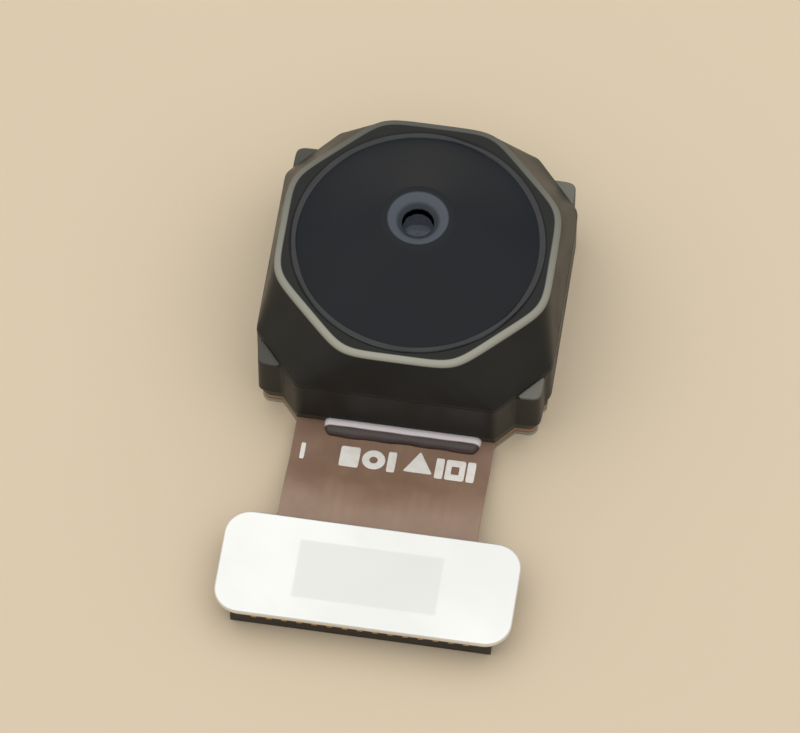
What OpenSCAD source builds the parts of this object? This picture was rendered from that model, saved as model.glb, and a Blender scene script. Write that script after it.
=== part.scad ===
// Fixed-focus camera module: a lens head on a flat flex that ends in a board-to-board connector.
// Millimetres. The lens axis is Z, the head's back face lies on Z = 0 and the tail runs along -Y.

/* [Lens holder] */
// Width of the holder's foot, left to right
foot_w = 7.6; // [7.6:0.1:8.6]
// Depth of the foot between its front and back corners
foot_d = 6.8; // [6.6:0.1:7.4]
// Radius of the foot's upright corners
foot_corner_r = 0.25; // [0.1:0.05:0.4]
// Height of the corner shelves over the holder's underside
foot_h = 1.45; // [1.4:0.05:1.9]
// Bevel round the top of the corner shelves
shelf_bevel = 0.08; // [0.04:0.02:0.14]
// Length of the collar's front and back flats
collar_front_l = 5.3; // [4.2:0.1:5.4]
// Length of the collar's side flats
collar_side_l = 4.9; // [3.8:0.1:5]
// Stand-out of the collar's flats from the rim's flats
collar_proud = 0.27; // [0.15:0.01:0.35]
// Height of the collar's upright flats over the corner shelves
collar_h = 0.1; // [0.05:0.05:0.6]
// Height of the tower's rim over the corner shelves
tower_h = 1.6; // [1.3:0.05:1.8]
// Wall of the tower round the barrel, at the rim's flats
tower_wall = 0.38; // [0.34:0.01:0.5]
// Radius of the rim's eight corners
rim_corner_r = 1.5; // [0.4:0.1:1.8]
// Bevel on the rim's outer edge
rim_bevel = 0.08; // [0.04:0.01:0.1]
// Width and depth of the glue groove inside the rim
glue_groove = 0.1; // [0.07:0.01:0.14]
// Wall of the foot round the sensor cavity
foot_wall = 0.85; // [0.75:0.05:1]
// Height of the sensor cavity over the holder's underside
cavity_h = 0.75; // [0.65:0.05:0.85]
// Thickness of the ledge that carries the filter
ledge_t = 0.25; // [0.2:0.05:0.3]
// Width of the light window in the ledge
window_w = 3.9; // [3.5:0.1:4]
// Depth of the light window in the ledge
window_d = 3.2; // [2.8:0.1:3.4]
// Radius of the two locating pegs
peg_r = 0.18; // [0.12:0.01:0.2]
// Length of the locating pegs below the holder
peg_l = 0.22; // [0.12:0.02:0.26]

/* [Lens barrel] */
// Radius of the barrel
barrel_r = 3.25; // [3.2:0.05:3.35]
// Radial gap that stands for the thread between barrel and tower
thread_gap = 0.05; // [0.03:0.01:0.08]
// Height of the coned nose over the rim
nose_h = 1.2; // [1.1:0.05:1.5]
// Radius of the flat at the tip of the nose
nose_tip_r = 0.95; // [0.9:0.05:1.1]
// Depth of the barrel's edge below the rim
barrel_drop = 0.05; // [0.02:0.01:0.08]
// Length of the barrel's straight part
barrel_l = 1.45; // [1.4:0.05:1.5]
// Radius of the aperture
aperture_r = 0.42; // [0.3:0.02:0.5]
// Radius of the aperture's flare at the tip
flare_r = 0.8; // [0.7:0.05:0.85]
// Depth of the flare
flare_h = 0.24; // [0.18:0.02:0.28]
// Thickness of the wall between the tip and the first element
front_wall = 0.45; // [0.43:0.01:0.5]
// Depth of the dished recess over the first element's crown
crown_recess = 0.16; // [0.15:0.01:0.18]

/* [Lens stack] */
// Radius of the first element's rim
first_rim_r = 1.3; // [1.2:0.05:1.4]
// Width of the ledge from one element's rim to the next
rim_ledge_w = 0.4; // [0.3:0.02:0.42]
// Width of the flat flange round each element
flange_w = 0.5; // [0.4:0.05:0.55]
// Thickness of the flanges
flange_t = 0.4; // [0.34:0.02:0.44]
// Radial clearance of the elements in the barrel
lens_gap = 0.01; // [0.005:0.005:0.02]
// Thickness of the light shades
shade_t = 0.03; // [0.02:0.01:0.05]
// Thickness of the spacer before the last element
spacer_t = 0.18; // [0.16:0.02:0.22]
// Thickness of the retaining ring
retainer_t = 0.28; // [0.2:0.02:0.3]
// Width of the retaining ring
retainer_w = 0.6; // [0.4:0.05:0.7]

/* [Filter and sensor] */
// Lap of the filter on the ledge
filter_lap = 0.5; // [0.4:0.05:0.55]
// Thickness of the filter
filter_t = 0.21; // [0.15:0.01:0.3]
// Thickness of the filter's glue
filter_glue_t = 0.03; // [0.02:0.01:0.05]
// Width of the filter's glue frame
filter_glue_w = 0.3; // [0.2:0.05:0.35]
// Width of the sensor die
die_w = 4.4; // [4:0.1:4.6]
// Depth of the sensor die
die_d = 3.7; // [3.4:0.1:3.9]
// Thickness of the sensor die
die_t = 0.2; // [0.15:0.01:0.25]
// Thickness of the die's glue
die_glue_t = 0.02; // [0.01:0.01:0.04]
// Bond wires on each side of the die
wires_per_side = 13; // [6:1:18]
// Pitch of the bond wires
wire_pitch = 0.28; // [0.2:0.01:0.28]
// Radius of the bond wires
wire_r = 0.015; // [0.01:0.005:0.02]
// Span of a bond wire from die to board
wire_span = 0.3; // [0.24:0.02:0.34]
// Height of a bond wire over the die
wire_h = 0.2; // [0.18:0.01:0.3]
// Distance of a wire's foot from the die's edge
wire_inset = 0.1; // [0.06:0.01:0.12]
// Length of a chip capacitor
cap_l = 0.6; // [0.5:0.05:0.7]
// Width and height of a chip capacitor
cap_w = 0.3; // [0.25:0.01:0.34]
// Length of a capacitor's end caps
cap_end = 0.15; // [0.1:0.01:0.18]
// Pitch of the capacitors along the die
cap_pitch = 1; // [0.8:0.05:1.2]
// Gap between the die and the capacitors
cap_gap = 0.2; // [0.15:0.01:0.22]

/* [Head laminate] */
// Inset of the board and films from the holder's outline
board_inset = 0.1; // [0.05:0.01:0.14]
// Thickness of the rigid sensor board
board_t = 0.3; // [0.28:0.01:0.4]
// Radial clearance of the pegs in the board
peg_gap = 0.04; // [0.02:0.01:0.05]
// Thickness of the glue under the holder
holder_glue_t = 0.04; // [0.02:0.01:0.06]
// Setback of the holder's glue from the sensor cavity
holder_glue_setback = 0.1; // [0.05:0.01:0.15]
// Inset of the holder's glue from its outline
holder_glue_inset = 0.18; // [0.15:0.01:0.25]
// Inset of the stiffener's glue from the stiffener's outline
stiffener_glue_inset = 0.05; // [0.02:0.01:0.1]
// Thickness of the steel stiffener behind the head
stiffener_t = 0.15; // [0.1:0.01:0.2]
// Thickness of the stiffener's glue
stiffener_glue_t = 0.04; // [0.02:0.01:0.06]

/* [Flex] */
// Width of the tail
tail_w = 5.3; // [5:0.1:5.8]
// Length of tail between the head and the connector's pad
tail_l = 3.35; // [3.2:0.05:6]
// Fillet where the tail widens into the connector's pad
tail_fillet = 0.35; // [0.2:0.05:0.5]
// Thickness of the base film
film_t = 0.05; // [0.03:0.01:0.07]
// Thickness of the copper
copper_t = 0.02; // [0.01:0.01:0.04]
// Thickness of each coverlay
coverlay_t = 0.03; // [0.02:0.01:0.05]
// Straight flex on each side of the bend
bend_margin = 0.45; // [0.4:0.05:0.6]
// Signal tracks along the tail
track_count = 12; // [6:1:13]
// Pitch of the signal tracks
track_pitch = 0.32; // [0.28:0.01:0.33]
// Width of a signal track
track_w = 0.16; // [0.1:0.01:0.2]
// Bare film between the copper and the flex's outline
copper_inset = 0.08; // [0.05:0.01:0.1]
// Width of the ground tracks along the tail's edges
ground_w = 0.28; // [0.2:0.02:0.3]
// Length of the glue bead across the tail
bead_l = 4.2; // [3.6:0.1:4.6]
// Shift of the bead from the lens axis
bead_shift = 0.2; // [0:0.05:0.25]
// Depth of the bead in front of the head
bead_d = 0.36; // [0.3:0.01:0.42]
// Height of the bead over the tail
bead_h = 0.22; // [0.16:0.01:0.26]

/* [Connector] */
// Length of the bright plate, left to right
plate_w = 7.85; // [7.6:0.05:8.4]
// Depth of the plate
plate_d = 3; // [3:0.1:3.6]
// Radius of the plate's corners
plate_corner_r = 0.7; // [0.35:0.05:0.8]
// Thickness of the plate
plate_t = 0.18; // [0.12:0.01:0.25]
// Bevel round the plate's top
plate_bevel = 0.04; // [0.02:0.01:0.06]
// Thickness of the plate's glue
plate_glue_t = 0.04; // [0.02:0.01:0.06]
// Inset of the flex pad from the plate's outline
pad_inset = 0.1; // [0.05:0.01:0.15]
// Inset of the plate's glue from the flex pad
plate_glue_inset = 0.1; // [0.05:0.01:0.2]
// Contacts in each row
contacts_per_row = 15; // [8:1:16]
// Pitch of the contacts
contact_pitch = 0.4; // [0.35:0.01:0.4]
// Width of a contact
contact_w = 0.15; // [0.1:0.01:0.18]
// Thickness of the contact metal
contact_t = 0.06; // [0.04:0.01:0.08]
// Length of a contact's solder foot past the housing
contact_foot = 0.1; // [0.05:0.01:0.12]
// Height of a contact's tip over the mating face
contact_drop = 0.08; // [0.05:0.01:0.12]
// Stand-out of a contact's spring bump into the trough
contact_bump = 0.05; // [0.03:0.01:0.08]
// Length of a contact's spring bump
contact_bump_l = 0.2; // [0.14:0.01:0.24]
// Clearance of a contact in its slot
contact_gap = 0.01; // [0.005:0.005:0.02]
// Height of the connector's housing
housing_h = 0.59; // [0.55:0.01:0.7]
// Depth of the housing, front to back
housing_d = 2.6; // [2.5:0.05:2.65]
// Thickness of the housing's long walls
housing_wall = 0.5; // [0.45:0.01:0.55]
// Space in the trough past the last contact
trough_end = 0.15; // [0.08:0.01:0.2]
// Thickness of the housing's end walls
housing_end = 0.42; // [0.35:0.01:0.48]
// Thickness of the housing's web
housing_web = 0.14; // [0.1:0.01:0.18]
// Width of the island in the housing's trough
island_w = 0.5; // [0.4:0.02:0.6]
// Gap round the ends of the island
island_gap = 0.3; // [0.2:0.02:0.4]
// Drop of the island's crown from the mating face
island_drop = 0.08; // [0.05:0.01:0.12]
// Bevel on the housing's outer mating edges
housing_bevel = 0.08; // [0.04:0.01:0.1]
// Width of the hold-down tabs
tab_w = 1; // [0.8:0.05:1.3]
// Length of a tab's foot on the housing
tab_foot = 0.3; // [0.2:0.01:0.34]
// Length of a tab's leg down the housing's end
tab_leg = 0.4; // [0.3:0.01:0.45]

/* [Hidden] */

// Overrun of every cutting tool past the face that it opens
over = 0.2;
// Facets on round forms; the exact solids keep true circles
round_fn = 96;
small_fn = 32;
wire_fn = 16;
rim_corner_steps = 4;

// Heights of the head's layers
flex_z = stiffener_t + stiffener_glue_t;
film_lift = coverlay_t;
copper_lift = film_lift + film_t;
cover_lift = copper_lift + copper_t;
flex_t = cover_lift + coverlay_t;
board_z = flex_z + flex_t;
board_top_z = board_z + board_t;
holder_z = board_top_z + holder_glue_t;
shelf_z = holder_z + foot_h;
rim_z = shelf_z + tower_h;
ledge_top_z = holder_z + cavity_h + ledge_t;
tip_z = rim_z + nose_h;

// Plan of the head
bore_r = barrel_r + thread_gap;
rim_flat_r = bore_r + tower_wall;
flat_r = rim_flat_r + collar_proud;
cavity_w = foot_w - 2 * foot_wall;
cavity_d = foot_d - 2 * foot_wall;
peg_x = (foot_w - foot_wall) / 2;
peg_y = (foot_d - foot_wall) / 2;

// The barrel and its stack, from the front wall down
edge_z = rim_z - barrel_drop;
barrel_z = edge_z - barrel_l;
seat_z = tip_z - front_wall;
retainer_r = first_rim_r + 4 * rim_ledge_w;

// Element prescriptions: each surface has a vertex height and a wave height at mid radius
FRONT_VERTEX = [0.13, -0.06, -0.08, -0.02];
FRONT_WAVE = [0.03, -0.01, -0.02, 0.04];
BACK_VERTEX = [0.05, 0.14, -0.13, 0.13];
BACK_WAVE = [0.01, 0.03, -0.03, -0.09];
surface_steps = 10;
bead_steps = 6;
// Skin by which a capacitor's metal ends stand out of its body
cap_skin_t = 0.01;

// Places along the tail
head_front_y = -flat_r;
pad_back_y = head_front_y - tail_l;
plate_y = pad_back_y + pad_inset - plate_d / 2;
pad_w = plate_w - 2 * pad_inset;
pad_d = plate_d - 2 * pad_inset;
pad_corner_r = plate_corner_r - pad_inset;
pad_z = housing_h + contact_t;
plate_z = pad_z + flex_t + plate_glue_t;

// The gentle double bend that lifts the tail onto the connector
bend_from_y = head_front_y - bend_margin;
bend_to_y = pad_back_y + bend_margin;
bend_run = bend_from_y - bend_to_y;
bend_rise = pad_z - flex_z;
bend_angle = 2 * atan(bend_rise / bend_run);
bend_r = bend_run / (2 * sin(bend_angle));
bend_steps = 8;

// The connector's length follows its contacts
trough_l = (contacts_per_row - 1) * contact_pitch + contact_w + 2 * trough_end;
trough_w = housing_d - 2 * housing_wall;
housing_l = trough_l + 2 * housing_end;
trough_h = housing_h - housing_web;

function rim_r(i) = first_rim_r + i * rim_ledge_w;
function optical_r(i) = rim_r(i) - flange_w;
// Top of element i: each flange stands on the one below through a shade or the spacer
function spacing_t(i) = i == 0 ? 0 : i == 3 ? spacer_t : shade_t;
function element_top(i) = i == 0 ? seat_z : element_bottom(i - 1) - spacing_t(i);
function element_bottom(i) = element_top(i) - flange_t;
retainer_top = element_bottom(3);

// Height of an optical surface at the fraction t of its radius
function sag(vertex, wave, t) = vertex * pow(1 - t * t, 2) + 4 * wave * t * t * (1 - t * t);

// Points along the flex at the height lift over its underside, from the head's back to the pad's end
function flex_edge(lift) = concat(
    [[flat_r, flex_z + lift]],
    [for (i = [0:bend_steps]) let (a = bend_angle * i / bend_steps)
        [bend_from_y - (bend_r - lift) * sin(a), flex_z + bend_r - (bend_r - lift) * cos(a)]],
    [for (i = [bend_steps - 1:-1:0]) let (a = bend_angle * i / bend_steps)
        [bend_to_y + (bend_r + lift) * sin(a), pad_z - bend_r + (bend_r + lift) * cos(a)]],
    [[plate_y - plate_d / 2, pad_z + lift]]);
function reversed(list) = [for (i = [len(list) - 1:-1:0]) list[i]];

// A rectangle with round corners
module rounded(w, d, r) {
    square([w - 2 * r, d], center = true);
    square([w, d - 2 * r], center = true);
    for (x = [-1, 1], y = [-1, 1])
        translate([x * (w / 2 - r), y * (d / 2 - r)]) circle(r, $fn = small_fn);
}

// A box centred on the lens axis that stands on z
module slab(w, d, z, h) {
    translate([-w / 2, -d / 2, z]) cube([w, d, h]);
}

// The octagon of the collar, drawn in by inset
module collar_plan(inset = 0) {
    r = flat_r - inset;
    a = collar_front_l / 2;
    b = collar_side_l / 2;
    polygon([[r, b], [a, r], [-a, r], [-r, b], [-r, -b], [-a, -r], [a, -r], [r, -b]]);
}

// The rim's regular octagon with its rounded corners, drawn in by inset
module rim_plan(inset = 0) {
    arc_r = rim_corner_r - inset;
    arc_centre = (rim_flat_r - rim_corner_r) / cos(22.5);
    polygon([for (k = [0:7], j = [0:rim_corner_steps])
        let (middle = 45 * k + 22.5, a = 45 * (k + j / rim_corner_steps))
            arc_centre * [cos(middle), sin(middle)] + arc_r * [cos(a), sin(a)]]);
}

// The head's outline: the foot with the collar's flats standing proud on its four sides
module head_plan(inset = 0) {
    rounded(foot_w - 2 * inset, foot_d - 2 * inset, foot_corner_r);
    collar_plan(inset);
}

// Upright pins or holes at the two locating pegs
module pegs(r, z, h) {
    for (s = [-1, 1]) translate([s * peg_x, s * peg_y, z]) cylinder(h, r, r, $fn = small_fn);
}

module lens_holder() {
    color("#30332f") {
        difference() {
            union() {
                // foot with bevelled corner shelves
                hull() {
                    translate([0, 0, holder_z])
                        linear_extrude(foot_h - shelf_bevel)
                            rounded(foot_w, foot_d, foot_corner_r);
                    translate([0, 0, holder_z])
                        linear_extrude(foot_h)
                            rounded(foot_w - 2 * shelf_bevel, foot_d - 2 * shelf_bevel,
                                    foot_corner_r);
                }
                // tower, drafted in from the collar's octagon to the rim's smaller one
                translate([0, 0, holder_z]) hull() {
                    linear_extrude(foot_h + collar_h) collar_plan();
                    linear_extrude(foot_h + tower_h - rim_bevel) rim_plan();
                    linear_extrude(foot_h + tower_h) rim_plan(rim_bevel);
                }
            }
            translate([0, 0, ledge_top_z])
                cylinder(rim_z - ledge_top_z + over, bore_r, bore_r, $fn = round_fn);
            translate([0, 0, rim_z - glue_groove])
                cylinder(glue_groove, bore_r, bore_r + glue_groove, $fn = round_fn);
            slab(window_w, window_d, holder_z, cavity_h + ledge_t + over);
            slab(cavity_w, cavity_d, holder_z - over, cavity_h + over);
        }
        pegs(peg_r, holder_z - peg_l, peg_l + over);
    }
}

module lens_barrel() {
    color("#23282c") rotate_extrude($fn = round_fn)
        polygon(concat(
            [[optical_r(0), seat_z], [aperture_r, seat_z + crown_recess],
             [aperture_r, tip_z - flare_h], [flare_r, tip_z],
             [nose_tip_r, tip_z], [barrel_r, edge_z], [barrel_r, barrel_z],
             [retainer_r + lens_gap, barrel_z], [retainer_r + lens_gap, retainer_top]],
            [for (i = [3:-1:0], z = [element_bottom(i), element_top(i) + spacing_t(i)])
                [rim_r(i) + lens_gap, z]]));
}

// Glue in the groove between the barrel's edge and the rim
module barrel_glue() {
    groove_z = rim_z - glue_groove;
    color("#8b8f86") rotate_extrude($fn = round_fn)
        polygon([[barrel_r, groove_z], [bore_r, groove_z],
                 [bore_r + glue_groove - barrel_drop, rim_z - barrel_drop],
                 [barrel_r, edge_z]]);
}

// A moulded element: two optical surfaces inside a flat flange
module lens_element(i) {
    r = optical_r(i);
    color("#b9d3dc") rotate_extrude($fn = round_fn)
        polygon(concat(
            [for (k = [0:surface_steps]) let (t = k / surface_steps)
                [r * t, element_top(i) + sag(FRONT_VERTEX[i], FRONT_WAVE[i], t)]],
            [[rim_r(i), element_top(i)], [rim_r(i), element_bottom(i)]],
            [for (k = [surface_steps:-1:0]) let (t = k / surface_steps)
                [r * t, element_bottom(i) + sag(BACK_VERTEX[i], BACK_WAVE[i], t)]]));
}

// A flat ring from the bottom z up
module ring(inner, outer, z, h) {
    rotate_extrude($fn = round_fn) translate([inner, z]) square([outer - inner, h]);
}

// A black film ring on top of element i
module light_shade(i) {
    color("#141414") ring(optical_r(i), rim_r(i), element_top(i), shade_t);
}

module lens_spacer() {
    color("#1a1a1a") ring(optical_r(3), rim_r(3), element_top(3), spacer_t);
}

module lens_retainer() {
    color("#1a1a1a")
        ring(retainer_r - retainer_w, retainer_r, retainer_top - retainer_t, retainer_t);
}

module infrared_filter() {
    color("#9fc4c9")
        slab(window_w + 2 * filter_lap, window_d + 2 * filter_lap,
             ledge_top_z + filter_glue_t, filter_t);
}

module filter_glue() {
    w = window_w + 2 * filter_lap;
    d = window_d + 2 * filter_lap;
    color("#3a3a3a") difference() {
        slab(w, d, ledge_top_z, filter_glue_t);
        slab(w - 2 * filter_glue_w, d - 2 * filter_glue_w, ledge_top_z - over,
             filter_glue_t + 2 * over);
    }
}

module die_glue() {
    color("#4a3f38") slab(die_w, die_d, board_top_z, die_glue_t);
}

module sensor_die() {
    color("#3d4a52") slab(die_w, die_d, board_top_z + die_glue_t, die_t);
}

// A bond wire: up from the die, over a half ring and down to the board
module bond_wire() {
    die_top_z = board_top_z + die_glue_t + die_t;
    loop_z = die_top_z + wire_h - wire_span / 2;
    start_y = die_d / 2 - wire_inset;
    translate([0, start_y, die_top_z])
        cylinder(loop_z - die_top_z, wire_r, wire_r, $fn = wire_fn);
    translate([0, start_y + wire_span / 2, loop_z])
        rotate([90, 0, 90]) rotate_extrude(angle = 180, $fn = small_fn)
            translate([wire_span / 2, 0]) circle(wire_r, $fn = wire_fn);
    translate([0, start_y + wire_span, board_top_z])
        cylinder(loop_z - board_top_z, wire_r, wire_r, $fn = wire_fn);
}

module bond_wires() {
    color("#d8b04a")
        for (side = [0, 1], i = [0:wires_per_side - 1])
            mirror([0, side, 0])
                translate([(i - (wires_per_side - 1) / 2) * wire_pitch, 0, 0]) bond_wire();
}

// A chip capacitor on its two metal ends, lying along Y
module capacitor() {
    slab(cap_w - 2 * cap_skin_t, cap_l, board_top_z + cap_skin_t, cap_w - 2 * cap_skin_t);
    for (s = [-1, 1]) translate([0, s * (cap_l - cap_end) / 2, 0])
        slab(cap_w, cap_end, board_top_z, cap_w);
}

// Three capacitors on the left of the die and two on its right
module capacitors() {
    color("#a58a6a")
        for (s = [-1, 1]) let (count = s < 0 ? 3 : 2) for (i = [0:count - 1])
            translate([s * (die_w / 2 + cap_gap + cap_w / 2),
                       (i - (count - 1) / 2) * cap_pitch, 0]) capacitor();
}

module holder_glue() {
    color("#5a5650") difference() {
        translate([0, 0, board_top_z]) linear_extrude(holder_glue_t)
            head_plan(holder_glue_inset);
        slab(cavity_w + 2 * holder_glue_setback, cavity_d + 2 * holder_glue_setback,
             board_top_z - over, holder_glue_t + 2 * over);
        pegs(peg_r + peg_gap, board_top_z - over, holder_glue_t + 2 * over);
    }
}

module sensor_board() {
    color("#2c3a2c") difference() {
        translate([0, 0, board_z]) linear_extrude(board_t) head_plan(board_inset);
        pegs(peg_r + peg_gap, board_z - over, board_t + 2 * over);
    }
}

module back_stiffener() {
    color("#b8b9b6") linear_extrude(stiffener_t) head_plan(board_inset);
}

module stiffener_glue() {
    color("#6b655c") translate([0, 0, stiffener_t]) linear_extrude(stiffener_glue_t)
        head_plan(board_inset + stiffener_glue_inset);
}

// Glue in the corner between the board's front edge and the tail, with a rounded front
module front_bead() {
    color("#b5a5ac") translate([bead_shift - bead_l / 2, 0, 0]) rotate([90, 0, 90])
        linear_extrude(bead_l) polygon(concat(
            [for (i = [0:bead_steps]) let (a = 90 * i / bead_steps)
                [head_front_y - bead_d * cos(a), board_z + bead_h * sin(a)]],
            [[head_front_y + board_inset, board_z + bead_h],
             [head_front_y + board_inset, board_z]]));
}

// One film of the flex: a plan shape given the tail's bent section between two heights
module flex_layer(lift, t) {
    span = plate_w + foot_w;
    intersection() {
        translate([-span / 2, 0, 0]) rotate([90, 0, 90]) linear_extrude(span)
            polygon(concat(flex_edge(lift), reversed(flex_edge(lift + t))));
        linear_extrude(tip_z) children();
    }
}

// The flex's outline: the head, the narrow tail and the wide pad with its two fillets
module flex_plan() {
    head_plan(board_inset);
    translate([-tail_w / 2, pad_back_y - over])
        square([tail_w, head_front_y - pad_back_y + board_inset + 2 * over]);
    translate([0, plate_y]) rounded(pad_w, pad_d, pad_corner_r);
    for (side = [0, 1]) mirror([side, 0]) translate([tail_w / 2, pad_back_y])
        difference() {
            square(tail_fillet);
            translate([tail_fillet, tail_fillet]) circle(tail_fillet, $fn = small_fn);
        }
}

// Copper under the head and the connector, joined by the tail's tracks
module copper_plan() {
    reach = head_front_y - pad_back_y + 2 * (board_inset + copper_inset + over);
    ground_x = (tail_w - ground_w) / 2 - copper_inset;
    head_plan(board_inset + copper_inset);
    translate([0, plate_y])
        rounded(pad_w - 2 * copper_inset, pad_d - 2 * copper_inset, pad_corner_r);
    for (i = [0:track_count - 1])
        translate([(i - (track_count - 1) / 2) * track_pitch, (head_front_y + pad_back_y) / 2])
            square([track_w, reach], center = true);
    for (s = [-1, 1]) translate([s * ground_x, (head_front_y + pad_back_y) / 2])
        square([ground_w, reach], center = true);
}

module flex_circuit() {
    color("#9a6f4e") flex_layer(film_lift, film_t) flex_plan();
}

module copper_tracks() {
    color("#b06a3c") flex_layer(copper_lift, copper_t) copper_plan();
}

module top_coverlay() {
    color("#8a6a58") flex_layer(cover_lift, coverlay_t) flex_plan();
}

module bottom_coverlay() {
    color("#8a6a58") flex_layer(0, coverlay_t) flex_plan();
}

module connector_plate() {
    color("#eceeec") translate([0, plate_y, plate_z]) hull() {
        linear_extrude(plate_t - plate_bevel) rounded(plate_w, plate_d, plate_corner_r);
        linear_extrude(plate_t)
            rounded(plate_w - 2 * plate_bevel, plate_d - 2 * plate_bevel,
                    plate_corner_r - plate_bevel);
    }
}

module plate_glue() {
    color("#cfc6b4") translate([0, plate_y, plate_z - plate_glue_t])
        linear_extrude(plate_glue_t)
            rounded(pad_w - 2 * plate_glue_inset, pad_d - 2 * plate_glue_inset,
                    pad_corner_r - plate_glue_inset);
}

// Places the children at every contact, with the row's outer side towards +Y
module at_contacts() {
    for (side = [0, 1], i = [0:contacts_per_row - 1])
        translate([(i - (contacts_per_row - 1) / 2) * contact_pitch, plate_y, 0])
            mirror([0, side, 0]) children();
}

// A trough that opens downwards, with an island along it and a slot for each contact
module connector_housing() {
    color("#1f1d1b") difference() {
        translate([0, plate_y, 0]) {
            difference() {
                hull() {
                    slab(housing_l - 2 * housing_bevel, housing_d - 2 * housing_bevel, 0,
                         housing_h);
                    slab(housing_l, housing_d, housing_bevel, housing_h - housing_bevel);
                }
                slab(trough_l, trough_w, -over, trough_h + over);
            }
            slab(trough_l - 2 * island_gap, island_w, island_drop, housing_h - island_drop);
        }
        at_contacts() translate([0, (trough_w + contact_t) / 2, 0])
            slab(contact_w + 2 * contact_gap, contact_t + 2 * contact_gap,
                 contact_drop - contact_gap, housing_h);
    }
}

// A formed contact: solder foot on the housing, leg in its slot and a spring bump in the trough
module contact() {
    leg_y = trough_w / 2;
    foot_y = housing_d / 2 + contact_foot;
    bump_z = contact_drop + contact_bump_l;
    translate([-contact_w / 2, 0, 0]) rotate([90, 0, 90]) linear_extrude(contact_w)
        polygon([[foot_y, housing_h], [foot_y, pad_z], [leg_y, pad_z], [leg_y, bump_z],
                 [leg_y - contact_bump, contact_drop + contact_bump_l / 2],
                 [leg_y, contact_drop], [leg_y + contact_t, contact_drop],
                 [leg_y + contact_t, housing_h]]);
}

module connector_contacts() {
    color("#d3b469") at_contacts() contact();
}

// Two L-shaped tabs that hold the housing's ends to the pad
module hold_down_tabs() {
    color("#c9c9c4") for (side = [0, 1])
        translate([0, plate_y + tab_w / 2, 0]) mirror([side, 0, 0])
            rotate([90, 0, 0]) linear_extrude(tab_w)
                polygon([[housing_l / 2 - tab_foot, housing_h],
                         [housing_l / 2, housing_h],
                         [housing_l / 2, pad_z - tab_leg],
                         [housing_l / 2 + contact_t, pad_z - tab_leg],
                         [housing_l / 2 + contact_t, pad_z],
                         [housing_l / 2 - tab_foot, pad_z]]);
}

lens_holder();
lens_barrel();
barrel_glue();
lens_element(0);  // lens_element_1
lens_element(1);  // lens_element_2
lens_element(2);  // lens_element_3
lens_element(3);  // lens_element_4
light_shade(1);  // light_shade_1
light_shade(2);  // light_shade_2
lens_spacer();
lens_retainer();
infrared_filter();
filter_glue();
sensor_die();
die_glue();
bond_wires();
capacitors();
holder_glue();
sensor_board();
front_bead();
flex_circuit();
copper_tracks();
top_coverlay();
bottom_coverlay();
back_stiffener();
stiffener_glue();
connector_plate();
plate_glue();
connector_housing();
connector_contacts();
hold_down_tabs();
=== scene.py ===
"""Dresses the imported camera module: numpy surfaces, procedural finishes and a plain studio.

Lengths are in millimetres inside the classes and turned to metres where a mesh is made.
"""

import logging
import math
from dataclasses import dataclass, field
from enum import Enum
from typing import Any, Mapping, Sequence

import bmesh
import bpy
import numpy as np
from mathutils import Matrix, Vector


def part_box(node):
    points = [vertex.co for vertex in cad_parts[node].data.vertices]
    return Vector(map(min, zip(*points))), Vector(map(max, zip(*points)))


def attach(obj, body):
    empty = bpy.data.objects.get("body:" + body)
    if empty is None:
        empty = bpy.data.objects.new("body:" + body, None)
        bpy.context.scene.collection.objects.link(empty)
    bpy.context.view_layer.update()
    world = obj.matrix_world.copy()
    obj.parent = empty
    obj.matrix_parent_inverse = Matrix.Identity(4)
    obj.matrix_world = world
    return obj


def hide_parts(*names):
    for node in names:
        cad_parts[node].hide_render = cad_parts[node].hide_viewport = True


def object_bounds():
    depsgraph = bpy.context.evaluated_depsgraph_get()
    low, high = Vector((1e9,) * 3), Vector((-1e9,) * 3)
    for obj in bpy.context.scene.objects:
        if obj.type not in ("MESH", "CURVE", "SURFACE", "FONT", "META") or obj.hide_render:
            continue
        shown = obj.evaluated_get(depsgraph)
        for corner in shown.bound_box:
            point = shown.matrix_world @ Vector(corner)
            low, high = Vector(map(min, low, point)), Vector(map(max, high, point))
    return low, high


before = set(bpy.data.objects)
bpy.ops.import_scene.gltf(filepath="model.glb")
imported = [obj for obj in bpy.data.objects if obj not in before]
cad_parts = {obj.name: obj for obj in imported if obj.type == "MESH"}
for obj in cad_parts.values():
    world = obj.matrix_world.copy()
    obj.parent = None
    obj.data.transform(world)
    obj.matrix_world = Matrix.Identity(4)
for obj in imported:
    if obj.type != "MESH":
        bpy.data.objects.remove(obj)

log = logging.getLogger("camera_module")

METRES_PER_MM = 0.001
MERGE_MM = 0.0001
FULL_TURN = 2 * math.pi
EIGHTH_COS = math.cos(FULL_TURN / 16)
SQUARE = [0, math.pi / 2, math.pi, -math.pi / 2]
QUARTER = np.linspace(0, math.pi / 2, 6)
# a row this much past a rounded corner's end keeps the flat beyond it flat when it is shaded
HOLD = 1.2
# a small edge is a row drawn in by its whole width, one by this share of it, and one this
# much past it; a sharp crease is held by a row this far from it, in millimetres
EDGE_STEP, EDGE_HOLD, CREASE = 0.3, 1.3, 0.01
# a kept node's edges that turn more than this are softened
EDGE_ANGLE = math.radians(35)
CAD_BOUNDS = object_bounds()
Socket = bpy.types.NodeSocket


# ---------------------------------------------------------------- measures from the frame

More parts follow.
